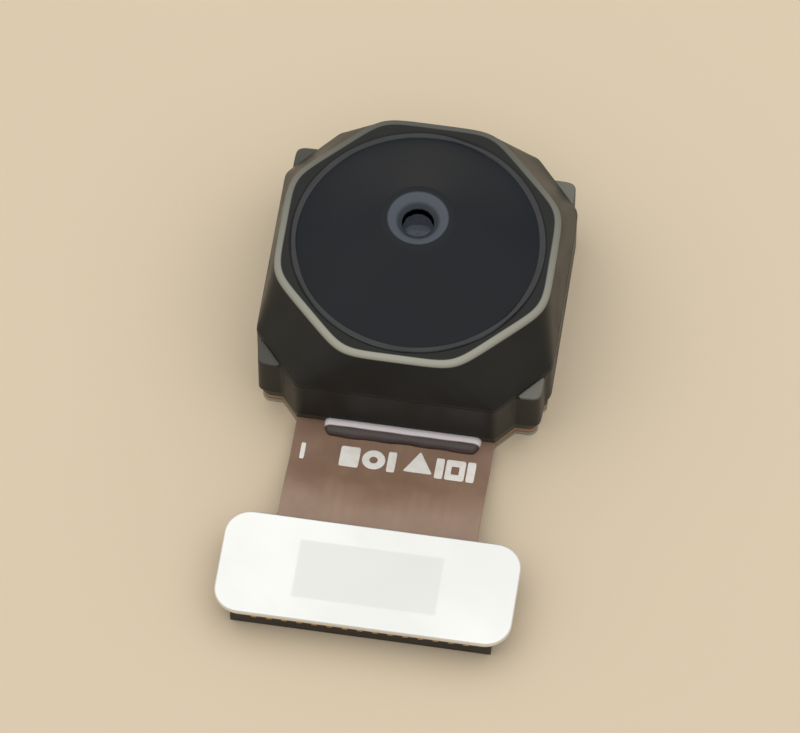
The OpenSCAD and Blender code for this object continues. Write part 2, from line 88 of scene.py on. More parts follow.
@dataclass(frozen=True)
class Box:
    """A CAD node's box at rest, in millimetres."""

    low: np.ndarray
    high: np.ndarray

    @classmethod
    def of(cls, node: str) -> "Box":
        """Reads one node's box from the frame.

        Args:
            node: the CAD node's name.

        Returns:
            The box, in millimetres.
        """
        low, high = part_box(node)
        return cls(np.array(low) / METRES_PER_MM, np.array(high) / METRES_PER_MM)

    @property
    def centre(self) -> np.ndarray:
        """The box's middle point."""
        return (self.low + self.high) / 2

    @property
    def size(self) -> np.ndarray:
        """The box's width, depth and height."""
        return self.high - self.low


# ---------------------------------------------------------------- surfaces

@dataclass(frozen=True)
class Surface:
    """A grid of points, rows by columns, that may close on itself either way.

    Attributes:
        points: the grid's points.
        wrap_rows: whether the last row joins the first.
        wrap_columns: whether the last column joins the first.
        highlight_and_wear: how pale each point is painted, from 0 to 1, as a painted highlight and
            as wear; it becomes the V of the piece's own UV map.
    """

    points: np.ndarray
    wrap_rows: bool = False
    wrap_columns: bool = True
    highlight_and_wear: np.ndarray | None = None

    def marks(self) -> np.ndarray:
        """Each point's U and V: its place round the columns, and its share of painted highlight and
        wear.

        Returns:
            An array of points by two.
        """
        rows, columns = self.points.shape[:2]
        highlight_and_wear = np.zeros((rows, columns)) if self.highlight_and_wear is None else self.highlight_and_wear
        grid = np.broadcast_arrays(np.linspace(0, 1, columns)[None, :], highlight_and_wear)
        return np.stack(grid, axis=-1).reshape(-1, 2)

    def faces(self) -> np.ndarray:
        """The grid's quads as indices into its flattened points.

        Returns:
            An array of quads by four.
        """
        rows, columns = self.points.shape[:2]
        i = np.arange(rows if self.wrap_rows else rows - 1)[:, None]
        j = np.arange(columns if self.wrap_columns else columns - 1)[None, :]
        i_next, j_next = (i + 1) % rows, (j + 1) % columns
        corners = (i * columns + j, i * columns + j_next,
                   i_next * columns + j_next, i_next * columns + j)
        return np.stack(np.broadcast_arrays(*corners), axis=-1).reshape(-1, 4)


def turn(count: int) -> np.ndarray:
    """Angles of count equal steps round a full turn."""
    return np.arange(count) * FULL_TURN / count


def polar(radius: np.ndarray, theta: np.ndarray, height: np.ndarray | float,
          centre: tuple[float, float] = (0.0, 0.0)) -> np.ndarray:
    """Points at r cos(theta), r sin(theta) and a height, from an upright axis.

    Args:
        radius: the distances r from the axis.
        theta: the angles round it.
        height: the heights, which broadcast with the rest.
        centre: the axis's X and Y.

    Returns:
        A grid of points.
    """
    x, y = centre[0] + radius * np.cos(theta), centre[1] + radius * np.sin(theta)
    return np.stack(np.broadcast_arrays(x, y, height), axis=-1)


def planes_radius(theta: np.ndarray, directions: Sequence[float], distances: Sequence[float],
                  sharpness: float) -> np.ndarray:
    """Radius of a rounded polygon seen from its middle.

    Each side is a plane at a distance d along a direction p, and the radius is the
    sharpness-norm of the planes: (sum of max(0, cos(theta - p) / d) ^ n) ^ (-1 / n).

    Args:
        theta: the angles at which the radius is wanted.
        directions: each side's direction, in radians.
        distances: each side's distance from the middle.
        sharpness: the norm's power; a higher one gives tighter corners.

    Returns:
        The radius at each angle.
    """
    turned = theta[:, None] - np.asarray(directions)[None, :]
    reach = np.clip(np.cos(turned) / np.asarray(distances)[None, :], 0, None)
    return (reach ** sharpness).sum(axis=1) ** (-1 / sharpness)


def rounded_path(corners: Sequence[Sequence[float]], radii: Sequence[float],
                 steps: int = 6) -> np.ndarray:
    """A closed path whose corners are rounded by curves.

    Each corner P becomes the quadratic curve (1-t)^2 A + 2t(1-t) P + t^2 B between the
    points A and B on its two sides, with one more point before A and after B that keeps
    the flat stretch between two corners flat when it is shaded.

    Args:
        corners: the path's corners, in order.
        radii: the distance from each corner to A and B.
        steps: the curve's steps at each corner.

    Returns:
        The path's points as an array of pairs.
    """
    corner = np.asarray(corners, dtype=float)[:, None]
    reach = []
    for step in (1, -1):
        side = np.roll(corner, step, axis=0) - corner
        length = np.linalg.norm(side, axis=2, keepdims=True)
        # a corner takes no more than two fifths of a side
        taken = np.minimum(np.asarray(radii)[:, None, None], 0.4 * length)
        reach.append(side * (taken / length))
    start, end = corner + reach[0], corner + reach[1]
    t = np.linspace(0, 1, steps + 1)[None, :, None]
    curve = (1 - t) ** 2 * start + 2 * t * (1 - t) * corner + t ** 2 * end
    first, last = corner + HOLD * reach[0], corner + HOLD * reach[1]
    return np.concatenate([first, curve, last], axis=1).reshape(-1, 2)


def revolve(path: np.ndarray, count: int) -> Surface:
    """Turns a closed path of radius and height about the lens axis, in count steps."""
    return Surface(polar(path[:, :1], turn(count)[None, :], path[:, 1:]), wrap_rows=True)


def rounded_rectangle(width: float, depth: float, radius: float, inset: np.ndarray,
                      per_corner: int = 12) -> np.ndarray:
    """Nested outlines of a rectangle with round corners.

    A point is its corner's centre plus (radius - inset) times its direction, so the arcs
    stay concentric while the outline draws in.

    Args:
        width: the full size along X.
        depth: the full size along Y.
        radius: the corners' radius.
        inset: how far each outline is drawn in.
        per_corner: the points on each quarter arc.

    Returns:
        An array of outlines by points by two.
    """
    quarter = np.linspace(0, math.pi / 2, per_corner)
    phi = np.concatenate([quarter + k * math.pi / 2 for k in range(4)])
    side = np.repeat([[1, 1], [-1, 1], [-1, -1], [1, -1]], per_corner, axis=0)
    centre = side * (np.array([width, depth]) / 2 - radius)
    direction = np.stack([np.cos(phi), np.sin(phi)], axis=-1)
    # past the radius the whole outline shrinks towards the middle line
    over = np.clip(inset - radius, 0, None)[:, None, None]
    shrunk = np.sign(centre) * np.clip(np.abs(centre)[None] - over, 0, None)
    return shrunk + np.clip(radius - inset, 0, None)[:, None, None] * direction[None]


# ---------------------------------------------------------------- materials

def linear(colour: str) -> tuple[float, float, float, float]:
    """Turns an sRGB colour into a linear one.

    Args:
        colour: the colour as hex, such as #8a6a58.

    Returns:
        Its linear red, green and blue, and an alpha of 1.
    """
    channels = np.array([int(colour[i:i + 2], 16) / 255 for i in (1, 3, 5)])
    low, high = channels / 12.92, ((channels + 0.055) / 1.055) ** 2.4
    return (*np.where(channels <= 0.04045, low, high).tolist(), 1.0)


def add_node(tree: bpy.types.NodeTree, kind: str, values: Mapping[Any, Any] | None = None,
             output: int | str = 0) -> Socket | None:
    """Adds a node with its settings and links.

    Args:
        tree: the node tree.
        kind: the node's type without the ShaderNode prefix.
        values: what its inputs, by name or number, and its attributes take. Each is a value,
            a colour as sRGB hex, or the socket that feeds the input.
        output: the output that is wanted, by name or number.

    Returns:
        That output's socket, or None for a node without outputs.
    """
    node = tree.nodes.new("ShaderNode" + kind)
    for key, value in (values or {}).items():
        if isinstance(value, Socket):
            tree.links.new(value, node.inputs[key])
        elif isinstance(key, int) or key in node.inputs:
            node.inputs[key].default_value = linear(value) if isinstance(value, str) else value
        else:
            setattr(node, key, value)
    return node.outputs[output] if len(node.outputs) else None


# What nodes share: a smooth step between two ends, and a mix of two colours, with the
# numbers of its inputs and of its output
SMOOTH = {"interpolation_type": "SMOOTHSTEP"}
COLOURS = {"data_type": "RGBA"}
SHARE, FIRST, SECOND, MIXED = 0, 6, 7, 2


class Lay(Enum):
    """The direction of a surface's working marks, as a stretch of its grain."""

    NONE = (1.0, 1.0, 1.0)
    ALONG_X = (0.03, 1.0, 1.0)
    ALONG_Y = (1.0, 0.03, 1.0)


@dataclass(frozen=True)
class Finish:
    """A material with a mottled colour, uneven gloss and a fine grain.

    Attributes:
        name: the real material and how its surface was made.
        colour: its colour, as sRGB hex.
        mottle: the colour of its darker or lighter patches.
        roughness: its mean roughness.
        metallic: 1 for bare metal.
        grain_mm: the size of its grain.
        relief_mm: the height of its grain.
        patch_mm: the size of its patches.
        unevenness: how far roughness swings about its mean.
        lay: the direction of its grain.
        shader: more values for the shader's own sockets.
        second_colour: the colour of a second region, in a finish that has a share for it.
        mottle_ends: the patches' values at which the mottle begins and is full.
        gloss_ends: the patches' values at which roughness is least and most.
        details: the octaves of the patches and of the grain.
    """

    name: str
    colour: str
    mottle: str
    roughness: float
    metallic: float = 0.0
    grain_mm: float = 0.05
    relief_mm: float = 0.002
    patch_mm: float = 1.2
    unevenness: float = 0.06
    lay: Lay = Lay.NONE
    shader: Mapping[str, Any] = field(default_factory=dict)
    second_colour: str = ""
    mottle_ends: tuple[float, float] = (0.38, 0.66)
    gloss_ends: tuple[float, float] = (0.3, 0.7)
    details: tuple[float, float] = (3.0, 4.0)

    def build(self) -> bpy.types.Material:
        """Makes the material.

        Returns:
            The material, ready for a slot.
        """
        material = bpy.data.materials.new(self.name)
        material.use_nodes = True
        tree = material.node_tree
        tree.nodes.clear()
        place = add_node(tree, "TexCoord", output="Object")
        stretched = add_node(tree, "Mapping", {"Scale": self.lay.value, "Vector": place})
        patches, grain = (
            add_node(tree, "TexNoise", {"Scale": 1 / (size * METRES_PER_MM), "Detail": detail,
                                        "Vector": vector}, "Fac")
            for size, detail, vector in zip((self.patch_mm, self.grain_mm), self.details,
                                            (place, stretched)))
        normal = add_node(tree, "Bump", {"Strength": 1.0,
                                         "Distance": self.relief_mm * METRES_PER_MM,
                                         "Height": self.height(tree, place, grain)})
        shader = add_node(tree, "BsdfPrincipled",
                          {"Metallic": self.metallic, **self.shader, "Normal": normal,
                           "Base Color": self.paint(tree, place, patches),
                           "Roughness": self.gloss(tree, place, patches)})
        add_node(tree, "OutputMaterial", {"Surface": shader})
        return material

    def share(self, tree: bpy.types.NodeTree, place: Socket) -> Socket | None:
        """The second colour's share at each place: none in a plain finish."""
        return None

    def paint(self, tree: bpy.types.NodeTree, place: Socket, patches: Socket) -> Socket:
        """The colour: the base mottled by the patches, and the second one by its share.

        Args:
            tree: the material's node tree.
            place: the place on the piece, in metres.
            patches: the patches' noise.

        Returns:
            The colour's socket.
        """
        low, high = self.mottle_ends
        spread = add_node(tree, "MapRange",
                          {**SMOOTH, "Value": patches, "From Min": low, "From Max": high})
        base = add_node(tree, "Mix", {**COLOURS, SHARE: spread, FIRST: self.colour,
                                      SECOND: self.mottle}, MIXED)
        share = self.share(tree, place)
        if share is None:
            return base
        return add_node(tree, "Mix", {**COLOURS, SHARE: share, FIRST: base,
                                      SECOND: self.second_colour}, MIXED)

    def gloss(self, tree: bpy.types.NodeTree, place: Socket, patches: Socket) -> Socket | float:
        """The roughness, which swings about its mean with the patches, or is the same all over.

        Args:
            tree: the material's node tree.
            place: the place on the piece, in metres; not used.
            patches: the patches' noise.

        Returns:
            The roughness's socket, or its value.
        """
        if not self.unevenness:
            return self.roughness
        low, high = self.gloss_ends
        return add_node(tree, "MapRange",
                        {**SMOOTH, "Value": patches, "From Min": low, "From Max": high,
                         "To Min": self.roughness - self.unevenness,
                         "To Max": self.roughness + self.unevenness})

    def height(self, tree: bpy.types.NodeTree, place: Socket, grain: Socket) -> Socket:
        """The relief: the grain alone."""
        return grain


@dataclass(frozen=True)
class HighlightAndWearPlastic(Finish):
    """Moulded plastic painted paler, as a painted highlight and as wear, by the share in the V of
    the piece's own UV map.
    """

    # the paler colour of the painted highlight and wear
    second_colour: str = "#a09f92"

    def share(self, tree: bpy.types.NodeTree, place: Socket) -> Socket:
        """The map's V."""
        return add_node(tree, "SeparateXYZ", {0: add_node(tree, "TexCoord", output="UV")}, "Y")


@dataclass(frozen=True)
class HighlightCrestGlue(Finish):
    """Glue with a pale highlight painted along its crest, towards the head.

    Attributes:
        highlight_y: the place along the part, towards the head, at which the painted highlight
            begins.
        highlight_blend: the width over which the painted highlight fades in.
    """

    # the painted highlight's near-white colour
    second_colour: str = "#fbf1f4"
    highlight_y: float = -4.12
    highlight_blend: float = 0.05

    def share(self, tree: bpy.types.NodeTree, place: Socket) -> Socket:
        """The painted highlight's share: a smooth step along the part from its front edge.

        Args:
            tree: the material's node tree.
            place: the place on the piece, in metres.

        Returns:
            The share's socket.
        """
        half = self.highlight_blend / 2
        return add_node(tree, "MapRange",
                        {**SMOOTH, "Value": add_node(tree, "SeparateXYZ", {0: place}, "Y"),
                         "From Min": (self.highlight_y - half) * METRES_PER_MM,
                         "From Max": (self.highlight_y + half) * METRES_PER_MM})


@dataclass(frozen=True)
class TurnedNose(Finish):
    """Moulded barrel plastic with fine rings round the axis, and a paler ring painted on the flare
    at the tip as its sheen.

    Attributes:
        sheen_ring_r: the inner and outer radius of the painted sheen's ring.
        flare_z: the height of the flare's foot.
        flare_soft: the height over which the painted sheen fades in under it.
        inner_sheen_share: the share of the painted sheen left inside the ring.
        inner_ends: where the ring fades in, as shares of its inner radius.
        outer_ends: where it fades in from outside, as shares of its outer radius.
        ring_mm: the pitch of the turned rings.
        ring_relief: their height as a share of the grain's.
    """

    # the flare's painted sheen: a paler blue-grey
    second_colour: str = "#525760"
    sheen_ring_r: tuple[float, float] = (0.56, 0.8)
    flare_z: float = 4.5
    flare_soft: float = 0.02
    inner_sheen_share: float = 0.3
    inner_ends: tuple[float, float] = (0.9, 1.1)
    outer_ends: tuple[float, float] = (1.04, 0.96)
    ring_mm: float = 0.07
    ring_relief: float = 0.12

    def radius(self, tree: bpy.types.NodeTree, place: Socket) -> Socket:
        """Distance from the lens axis, in metres: the length of the place without its Z."""
        flat = add_node(tree, "VectorMath", {"operation": "MULTIPLY", 0: place, 1: (1, 1, 0)})
        return add_node(tree, "VectorMath", {"operation": "LENGTH", 0: flat}, "Value")

    def share(self, tree: bpy.types.NodeTree, place: Socket) -> Socket:
        """The painted sheen's share on the flare: three smooth steps multiplied, two by radius and
        one by height.

        Args:
            tree: the material's node tree.
            place: the place on the piece, in metres.

        Returns:
            The share's socket.
        """
        radius = self.radius(tree, place)
        height = add_node(tree, "SeparateXYZ", {0: place}, "Z")
        inner, outer = self.sheen_ring_r
        made: Socket | float = 1.0
        for value, (low, high), least in (
                (radius, [outer * end for end in self.outer_ends], 0.0),
                (radius, [inner * end for end in self.inner_ends], self.inner_sheen_share),
                (height, (self.flare_z - self.flare_soft, self.flare_z), 0.0)):
            step = add_node(tree, "MapRange", {**SMOOTH, "Value": value, "To Min": least,
                                               "From Min": low * METRES_PER_MM,
                                               "From Max": high * METRES_PER_MM})
            made = add_node(tree, "Math", {"operation": "MULTIPLY", 0: step, 1: made})
        return made

    def height(self, tree: bpy.types.NodeTree, place: Socket, grain: Socket) -> Socket:
        """The grain with shallow rings, the sine of a full turn each ring_mm.

        Args:
            tree: the material's node tree.
            place: the place on the piece, in metres.
            grain: the grain's noise.

        Returns:
            The relief's socket.
        """
        turns = add_node(tree, "Math", {"operation": "MULTIPLY", 0: self.radius(tree, place),
                                        1: FULL_TURN / (self.ring_mm * METRES_PER_MM)})
        rings = add_node(tree, "Math", {"operation": "SINE", 0: turns})
        return add_node(tree, "Math", {"operation": "MULTIPLY_ADD", 0: rings,
                                       1: self.ring_relief, 2: grain})


@dataclass(frozen=True)
class FieldedPlate(Finish):
    """Bright sheet with a duller, slightly grey field in its middle.

    Attributes:
        centre: the field's middle, X and Y.
        half: the field's half width and half depth.
        soft: half the width of the field's soft edge.
        duller: how much rougher the field is.
    """

    second_colour: str = "#e8eae6"
    centre: tuple[float, float] = (0.0, 0.0)
    half: tuple[float, float] = (1.9, 0.85)
    soft: float = 0.03
    duller: float = 0.06

    def share(self, tree: bpy.types.NodeTree, place: Socket) -> Socket:
        """1 inside the field and 0 outside: a smooth step of |x - centre| times one of Y's.

        Args:
            tree: the material's node tree.
            place: the place on the piece, in metres.

        Returns:
            The share's socket.
        """
        made: Socket | float = 1.0
        for axis, middle, half in zip("XY", self.centre, self.half):
            offset = add_node(tree, "Math", {"operation": "SUBTRACT", 1: middle * METRES_PER_MM,
                                             0: add_node(tree, "SeparateXYZ", {0: place}, axis)})
            step = add_node(tree, "MapRange",
                            {**SMOOTH, "From Min": (half + self.soft) * METRES_PER_MM,
                             "From Max": (half - self.soft) * METRES_PER_MM,
                             "Value": add_node(tree, "Math", {"operation": "ABSOLUTE", 0: offset})})
            made = add_node(tree, "Math", {"operation": "MULTIPLY", 0: step, 1: made})
        return made

    def gloss(self, tree: bpy.types.NodeTree, place: Socket, patches: Socket) -> Socket:
        """The field is duller than the sheet round it."""
        return add_node(tree, "Math", {"operation": "MULTIPLY_ADD", 0: self.share(tree, place),
                                       1: self.duller, 2: super().gloss(tree, place, patches)})


@dataclass(frozen=True)
class TrackedFilm(Finish):
    """Brown film over copper, paler where no copper lies under it.

    Attributes:
        pitch: the pitch of the tracks.
        reach: the half width that the tracks cover.
        soft: the width over which they end there.
        gap_ends: the cosine's values at which a gap between tracks begins and is full.
        show: how far a gap shows through the film.
    """

    second_colour: str = "#94765c"
    pitch: float = 0.32
    reach: float = 1.95
    soft: float = 0.05
    gap_ends: tuple[float, float] = (-0.3, 0.5)
    show: float = 0.45

    def share(self, tree: bpy.types.NodeTree, place: Socket) -> Socket:
        """The gaps' share: the cosine of a full turn each pitch, stepped, inside the reach.

        Args:
            tree: the material's node tree.
            place: the place on the piece, in metres.

        Returns:
            The share's socket.
        """
        x = add_node(tree, "SeparateXYZ", {0: place}, "X")
        turns = add_node(tree, "Math", {"operation": "MULTIPLY", 0: x,
                                        1: FULL_TURN / (self.pitch * METRES_PER_MM)})
        low, high = self.gap_ends
        gap = add_node(tree, "MapRange",
                       {**SMOOTH, "From Min": low, "From Max": high,
                        "Value": add_node(tree, "Math", {"operation": "COSINE", 0: turns})})
        inside = add_node(tree, "MapRange",
                          {**SMOOTH, "From Min": self.reach * METRES_PER_MM,
                           "From Max": (self.reach - self.soft) * METRES_PER_MM,
                           "Value": add_node(tree, "Math", {"operation": "ABSOLUTE", 0: x}),
                           "To Max": self.show})
        return add_node(tree, "Math", {"operation": "MULTIPLY", 0: gap, 1: inside})


# Liquid-crystal polymer moulded in a spark-eroded tool: near black, satin, faintly mottled
HOLDER_PLASTIC = dict(name="moulded liquid-crystal polymer", colour="#131413", mottle="#1b1c1a",
                      roughness=0.42, grain_mm=0.045, relief_mm=0.0016, patch_mm=1.6,
                      shader={"Specular IOR Level": 0.3})
# Polycarbonate moulded in a turned tool: blue-black with a soft sheen
BARREL_PLASTIC = dict(name="moulded polycarbonate", colour="#11161c", mottle="#151a20",
                      roughness=0.42, grain_mm=0.035, relief_mm=0.0010, patch_mm=2.4,
                      shader={"Specular IOR Level": 0.24})
# Coated optical plastic: clear, its quarter-wave coat leaving a faint blue sheen
LENS_PLASTIC = Finish("coated optical plastic", "#dfe8ee", "#d8e3ea", 0.02, unevenness=0.0,
                      grain_mm=0.4, relief_mm=0.0,
                      shader={"Transmission Weight": 1.0, "IOR": 1.54,
                              "Thin Film Thickness": 120.0, "Thin Film IOR": 1.45})
# Polyester film blackened through: dull, with no grain to see
SHADE_FILM = Finish("black polyester film", "#101010", "#151515", 0.6, relief_mm=0.0003)
# Absorbing glass: pale blue-green, polished
FILTER_GLASS = Finish("polished infrared glass", "#a9d2d8", "#a4cdd4", 0.03, unevenness=0.0,
                      relief_mm=0.0, shader={"Transmission Weight": 0.8, "IOR": 1.52})
# Polished silicon with a fine cell pattern: dark violet-grey, almost a mirror
SILICON = Finish("polished silicon", "#3a424c", "#414452", 0.12, metallic=0.6, grain_mm=0.03,
                 relief_mm=0.0003, patch_mm=0.6)
# Drawn gold wire
GOLD_WIRE = Finish("drawn gold", "#e2b65a", "#d8a94c", 0.2, metallic=1.0, relief_mm=0.0002)
# Fired ceramic with tinned ends: tan and dull
CERAMIC = Finish("fired ceramic", "#a58a6a", "#94795a", 0.5, relief_mm=0.0015)
# Epoxy cured clear to grey: wet-looking, a little uneven
EPOXY = Finish("cured epoxy", "#6c6760", "#7a746b", 0.22, grain_mm=0.25, relief_mm=0.004,
               patch_mm=0.5, unevenness=0.05,
               shader={"Coat Weight": 0.6, "Coat Roughness": 0.08})
# The bead where the flex leaves the head: a pale highlight painted along its crest, and a dark
# brown painted as the shade in front of it
BEAD_EPOXY = dict(name="cured epoxy with painted highlight and shade", colour="#33231f", mottle="#3b2a25", roughness=0.3,
                  grain_mm=0.3, relief_mm=0.004, patch_mm=0.5, unevenness=0.05,
                  shader={"Coat Weight": 0.35, "Coat Roughness": 0.08})
# Black epoxy in the groove round the barrel: glossy, a little uneven
RING_GLUE = Finish("cured black epoxy", "#1d1f20", "#26282a", 0.28, grain_mm=0.2,
                   relief_mm=0.004, patch_mm=0.8)
# Glass-epoxy board, sawn at its edges: dark green mask over brown laminate
BOARD = Finish("sawn glass-epoxy laminate", "#2f3426", "#42402c", 0.5, grain_mm=0.04,
               relief_mm=0.004, patch_mm=0.4, lay=Lay.ALONG_X)
# Polyimide film pressed on copper: brown, waxy, a little orange peel
COVERLAY = dict(name="pressed polyimide coverlay", colour="#8e7260", mottle="#987c69",
                roughness=0.36, grain_mm=0.12, relief_mm=0.003, patch_mm=1.1,
                shader={"Coat Weight": 0.25, "Coat Roughness": 0.25})
POLYIMIDE = Finish("cast polyimide film", "#9a7350", "#a57e59", 0.35, grain_mm=0.1,
                   relief_mm=0.002)
# Rolled copper foil
COPPER = Finish("rolled copper foil", "#c07a4c", "#b56f44", 0.35, metallic=1.0,
                relief_mm=0.0008, lay=Lay.ALONG_Y)
# White ink printed on the film: chalky, slightly thick
WHITE_INK = Finish("screen-printed white ink", "#fbf8f2", "#f3eee5", 0.6, grain_mm=0.06,
                   relief_mm=0.004, patch_mm=0.3)
# Cold-rolled stainless sheet: grey, drawn fine lines along the roll
STAINLESS = Finish("cold-rolled stainless sheet", "#b9bab8", "#adaeab", 0.34, metallic=1.0,
                   grain_mm=0.05, relief_mm=0.0012, patch_mm=3.0, lay=Lay.ALONG_X)
# The same sheet bright-annealed: near white under a soft light
BRIGHT_SHEET = dict(name="bright-annealed stainless sheet", colour="#f3f4f2", mottle="#eeefed",
                    roughness=0.42, metallic=1.0, grain_mm=0.05, relief_mm=0.0006,
                    patch_mm=3.0, unevenness=0.03, lay=Lay.ALONG_X)
# Black liquid-crystal polymer, moulded: satin, with a faint warm cast
CONNECTOR_PLASTIC = Finish("moulded connector polymer", "#1d1a18", "#25211e", 0.45,
                           grain_mm=0.05, relief_mm=0.0015)
# Gold-flashed contacts, stamped and formed
CONTACT_METAL = Finish("gold-flashed stamped bronze", "#dcb768", "#cfa85a", 0.26, metallic=1.0,
                       relief_mm=0.0006)
# Tinned tabs
TINNED = Finish("tinned stamped bronze", "#c9c9c4", "#bdbdb7", 0.36, metallic=1.0,
                relief_mm=0.0008)
# Pressure-sensitive film under the plates
ADHESIVE = Finish("adhesive film", "#a89f8c", "#9c937f", 0.45, relief_mm=0.001)
# Painted board that the part lies on: plain pale sand
FLOOR_PAINT = Finish("matte sand paint", "#dccbb0", "#dac9ae", 0.75, grain_mm=0.5,
                     relief_mm=0.002, patch_mm=30.0, unevenness=0.02)


# ---------------------------------------------------------------- pieces

def make_piece(name: str, surfaces: Sequence[Surface], finish: Finish,
               nodes: Sequence[str] = ()) -> bpy.types.Object:
    """Joins surfaces into one closed mesh and puts it on the part.

    Args:
        name: the piece's name.
        surfaces: its surfaces, in millimetres.
        finish: its finish.
        nodes: the CAD nodes that it stands for.

    Returns:
        The piece's object, riding on the part's one body.
    """
    sizes = np.cumsum([0] + [s.points.shape[0] * s.points.shape[1] for s in surfaces])
    points = np.concatenate([s.points.reshape(-1, 3) for s in surfaces]) * METRES_PER_MM
    faces = np.concatenate([s.faces() + start for s, start in zip(surfaces, sizes)])
    mesh = bpy.data.meshes.new(name)
    mesh.vertices.add(len(points))
    mesh.vertices.foreach_set("co", points.astype(np.float32).ravel())
    mesh.loops.add(faces.size)
    mesh.loops.foreach_set("vertex_index", faces.astype(np.int32).ravel())
    mesh.polygons.add(len(faces))
    mesh.polygons.foreach_set("loop_start", np.arange(0, faces.size, 4, dtype=np.int32))
    # the UV map's V carries each point's share of painted highlight and wear
    marks = np.concatenate([s.marks() for s in surfaces])
    layer = mesh.uv_layers.new(name="place_and_rub")
    layer.data.foreach_set("uv", marks[faces.ravel()].astype(np.float32).ravel())
    mesh.update(calc_edges=True)
    shape = bmesh.new()
    shape.from_mesh(mesh)
    bmesh.ops.remove_doubles(shape, verts=shape.verts, dist=MERGE_MM * METRES_PER_MM)
    bmesh.ops.recalc_face_normals(shape, faces=shape.faces)
    shape.to_mesh(mesh)
    shape.free()
    mesh.shade_smooth()
    mesh.materials.append(finish.build())
    piece = bpy.data.objects.new(name, mesh)
    bpy.context.scene.collection.objects.link(piece)
    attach(piece, "root")
    if nodes:
        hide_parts(*nodes)
    log.info("%s: %d faces", name, len(mesh.polygons))
    return piece


def dress_node(node: str, finish: Finish, edge_mm: float = 0.0) -> None:
    """Gives a CAD node its finish and, where asked, softened edges.

    Args:
        node: the CAD node's name.
        finish: its finish.
        edge_mm: the width of the softened edges, or 0 for none.
    """
    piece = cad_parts[node]
    material = finish.build()
    piece.data.materials.clear()
    piece.data.materials.append(material)
    if edge_mm:
        weld = piece.modifiers.new("weld", "WELD")
        weld.merge_threshold = MERGE_MM * METRES_PER_MM
        bevel = piece.modifiers.new("edges", "BEVEL")
        bevel.width = edge_mm * METRES_PER_MM
        bevel.segments = 2
        bevel.limit_method = "ANGLE"
        bevel.angle_limit = EDGE_ANGLE
        bevel.harden_normals = True
    log.info("%s: CAD node dressed", node)


@dataclass(frozen=True)
class Level:
    """One level of a shell about the lens axis: its height, its outline and its share of painted
    highlight and wear.
    """

    height: float
    outline: np.ndarray
    highlight_and_wear: np.ndarray | float = 0.0


@dataclass(frozen=True)
class HeadPlan:
    """The head's plan, which the holder and the flex under it share.

    Attributes:
        foot: the foot's width and depth.
        collar_front_l: the length of the collar's front and back flats.
        collar_side_l: the length of its left and right flats.
    """

    foot: tuple[float, float] = (7.6, 6.8)
    collar_front_l: float = 5.3
    collar_side_l: float = 4.9


PLAN = HeadPlan()


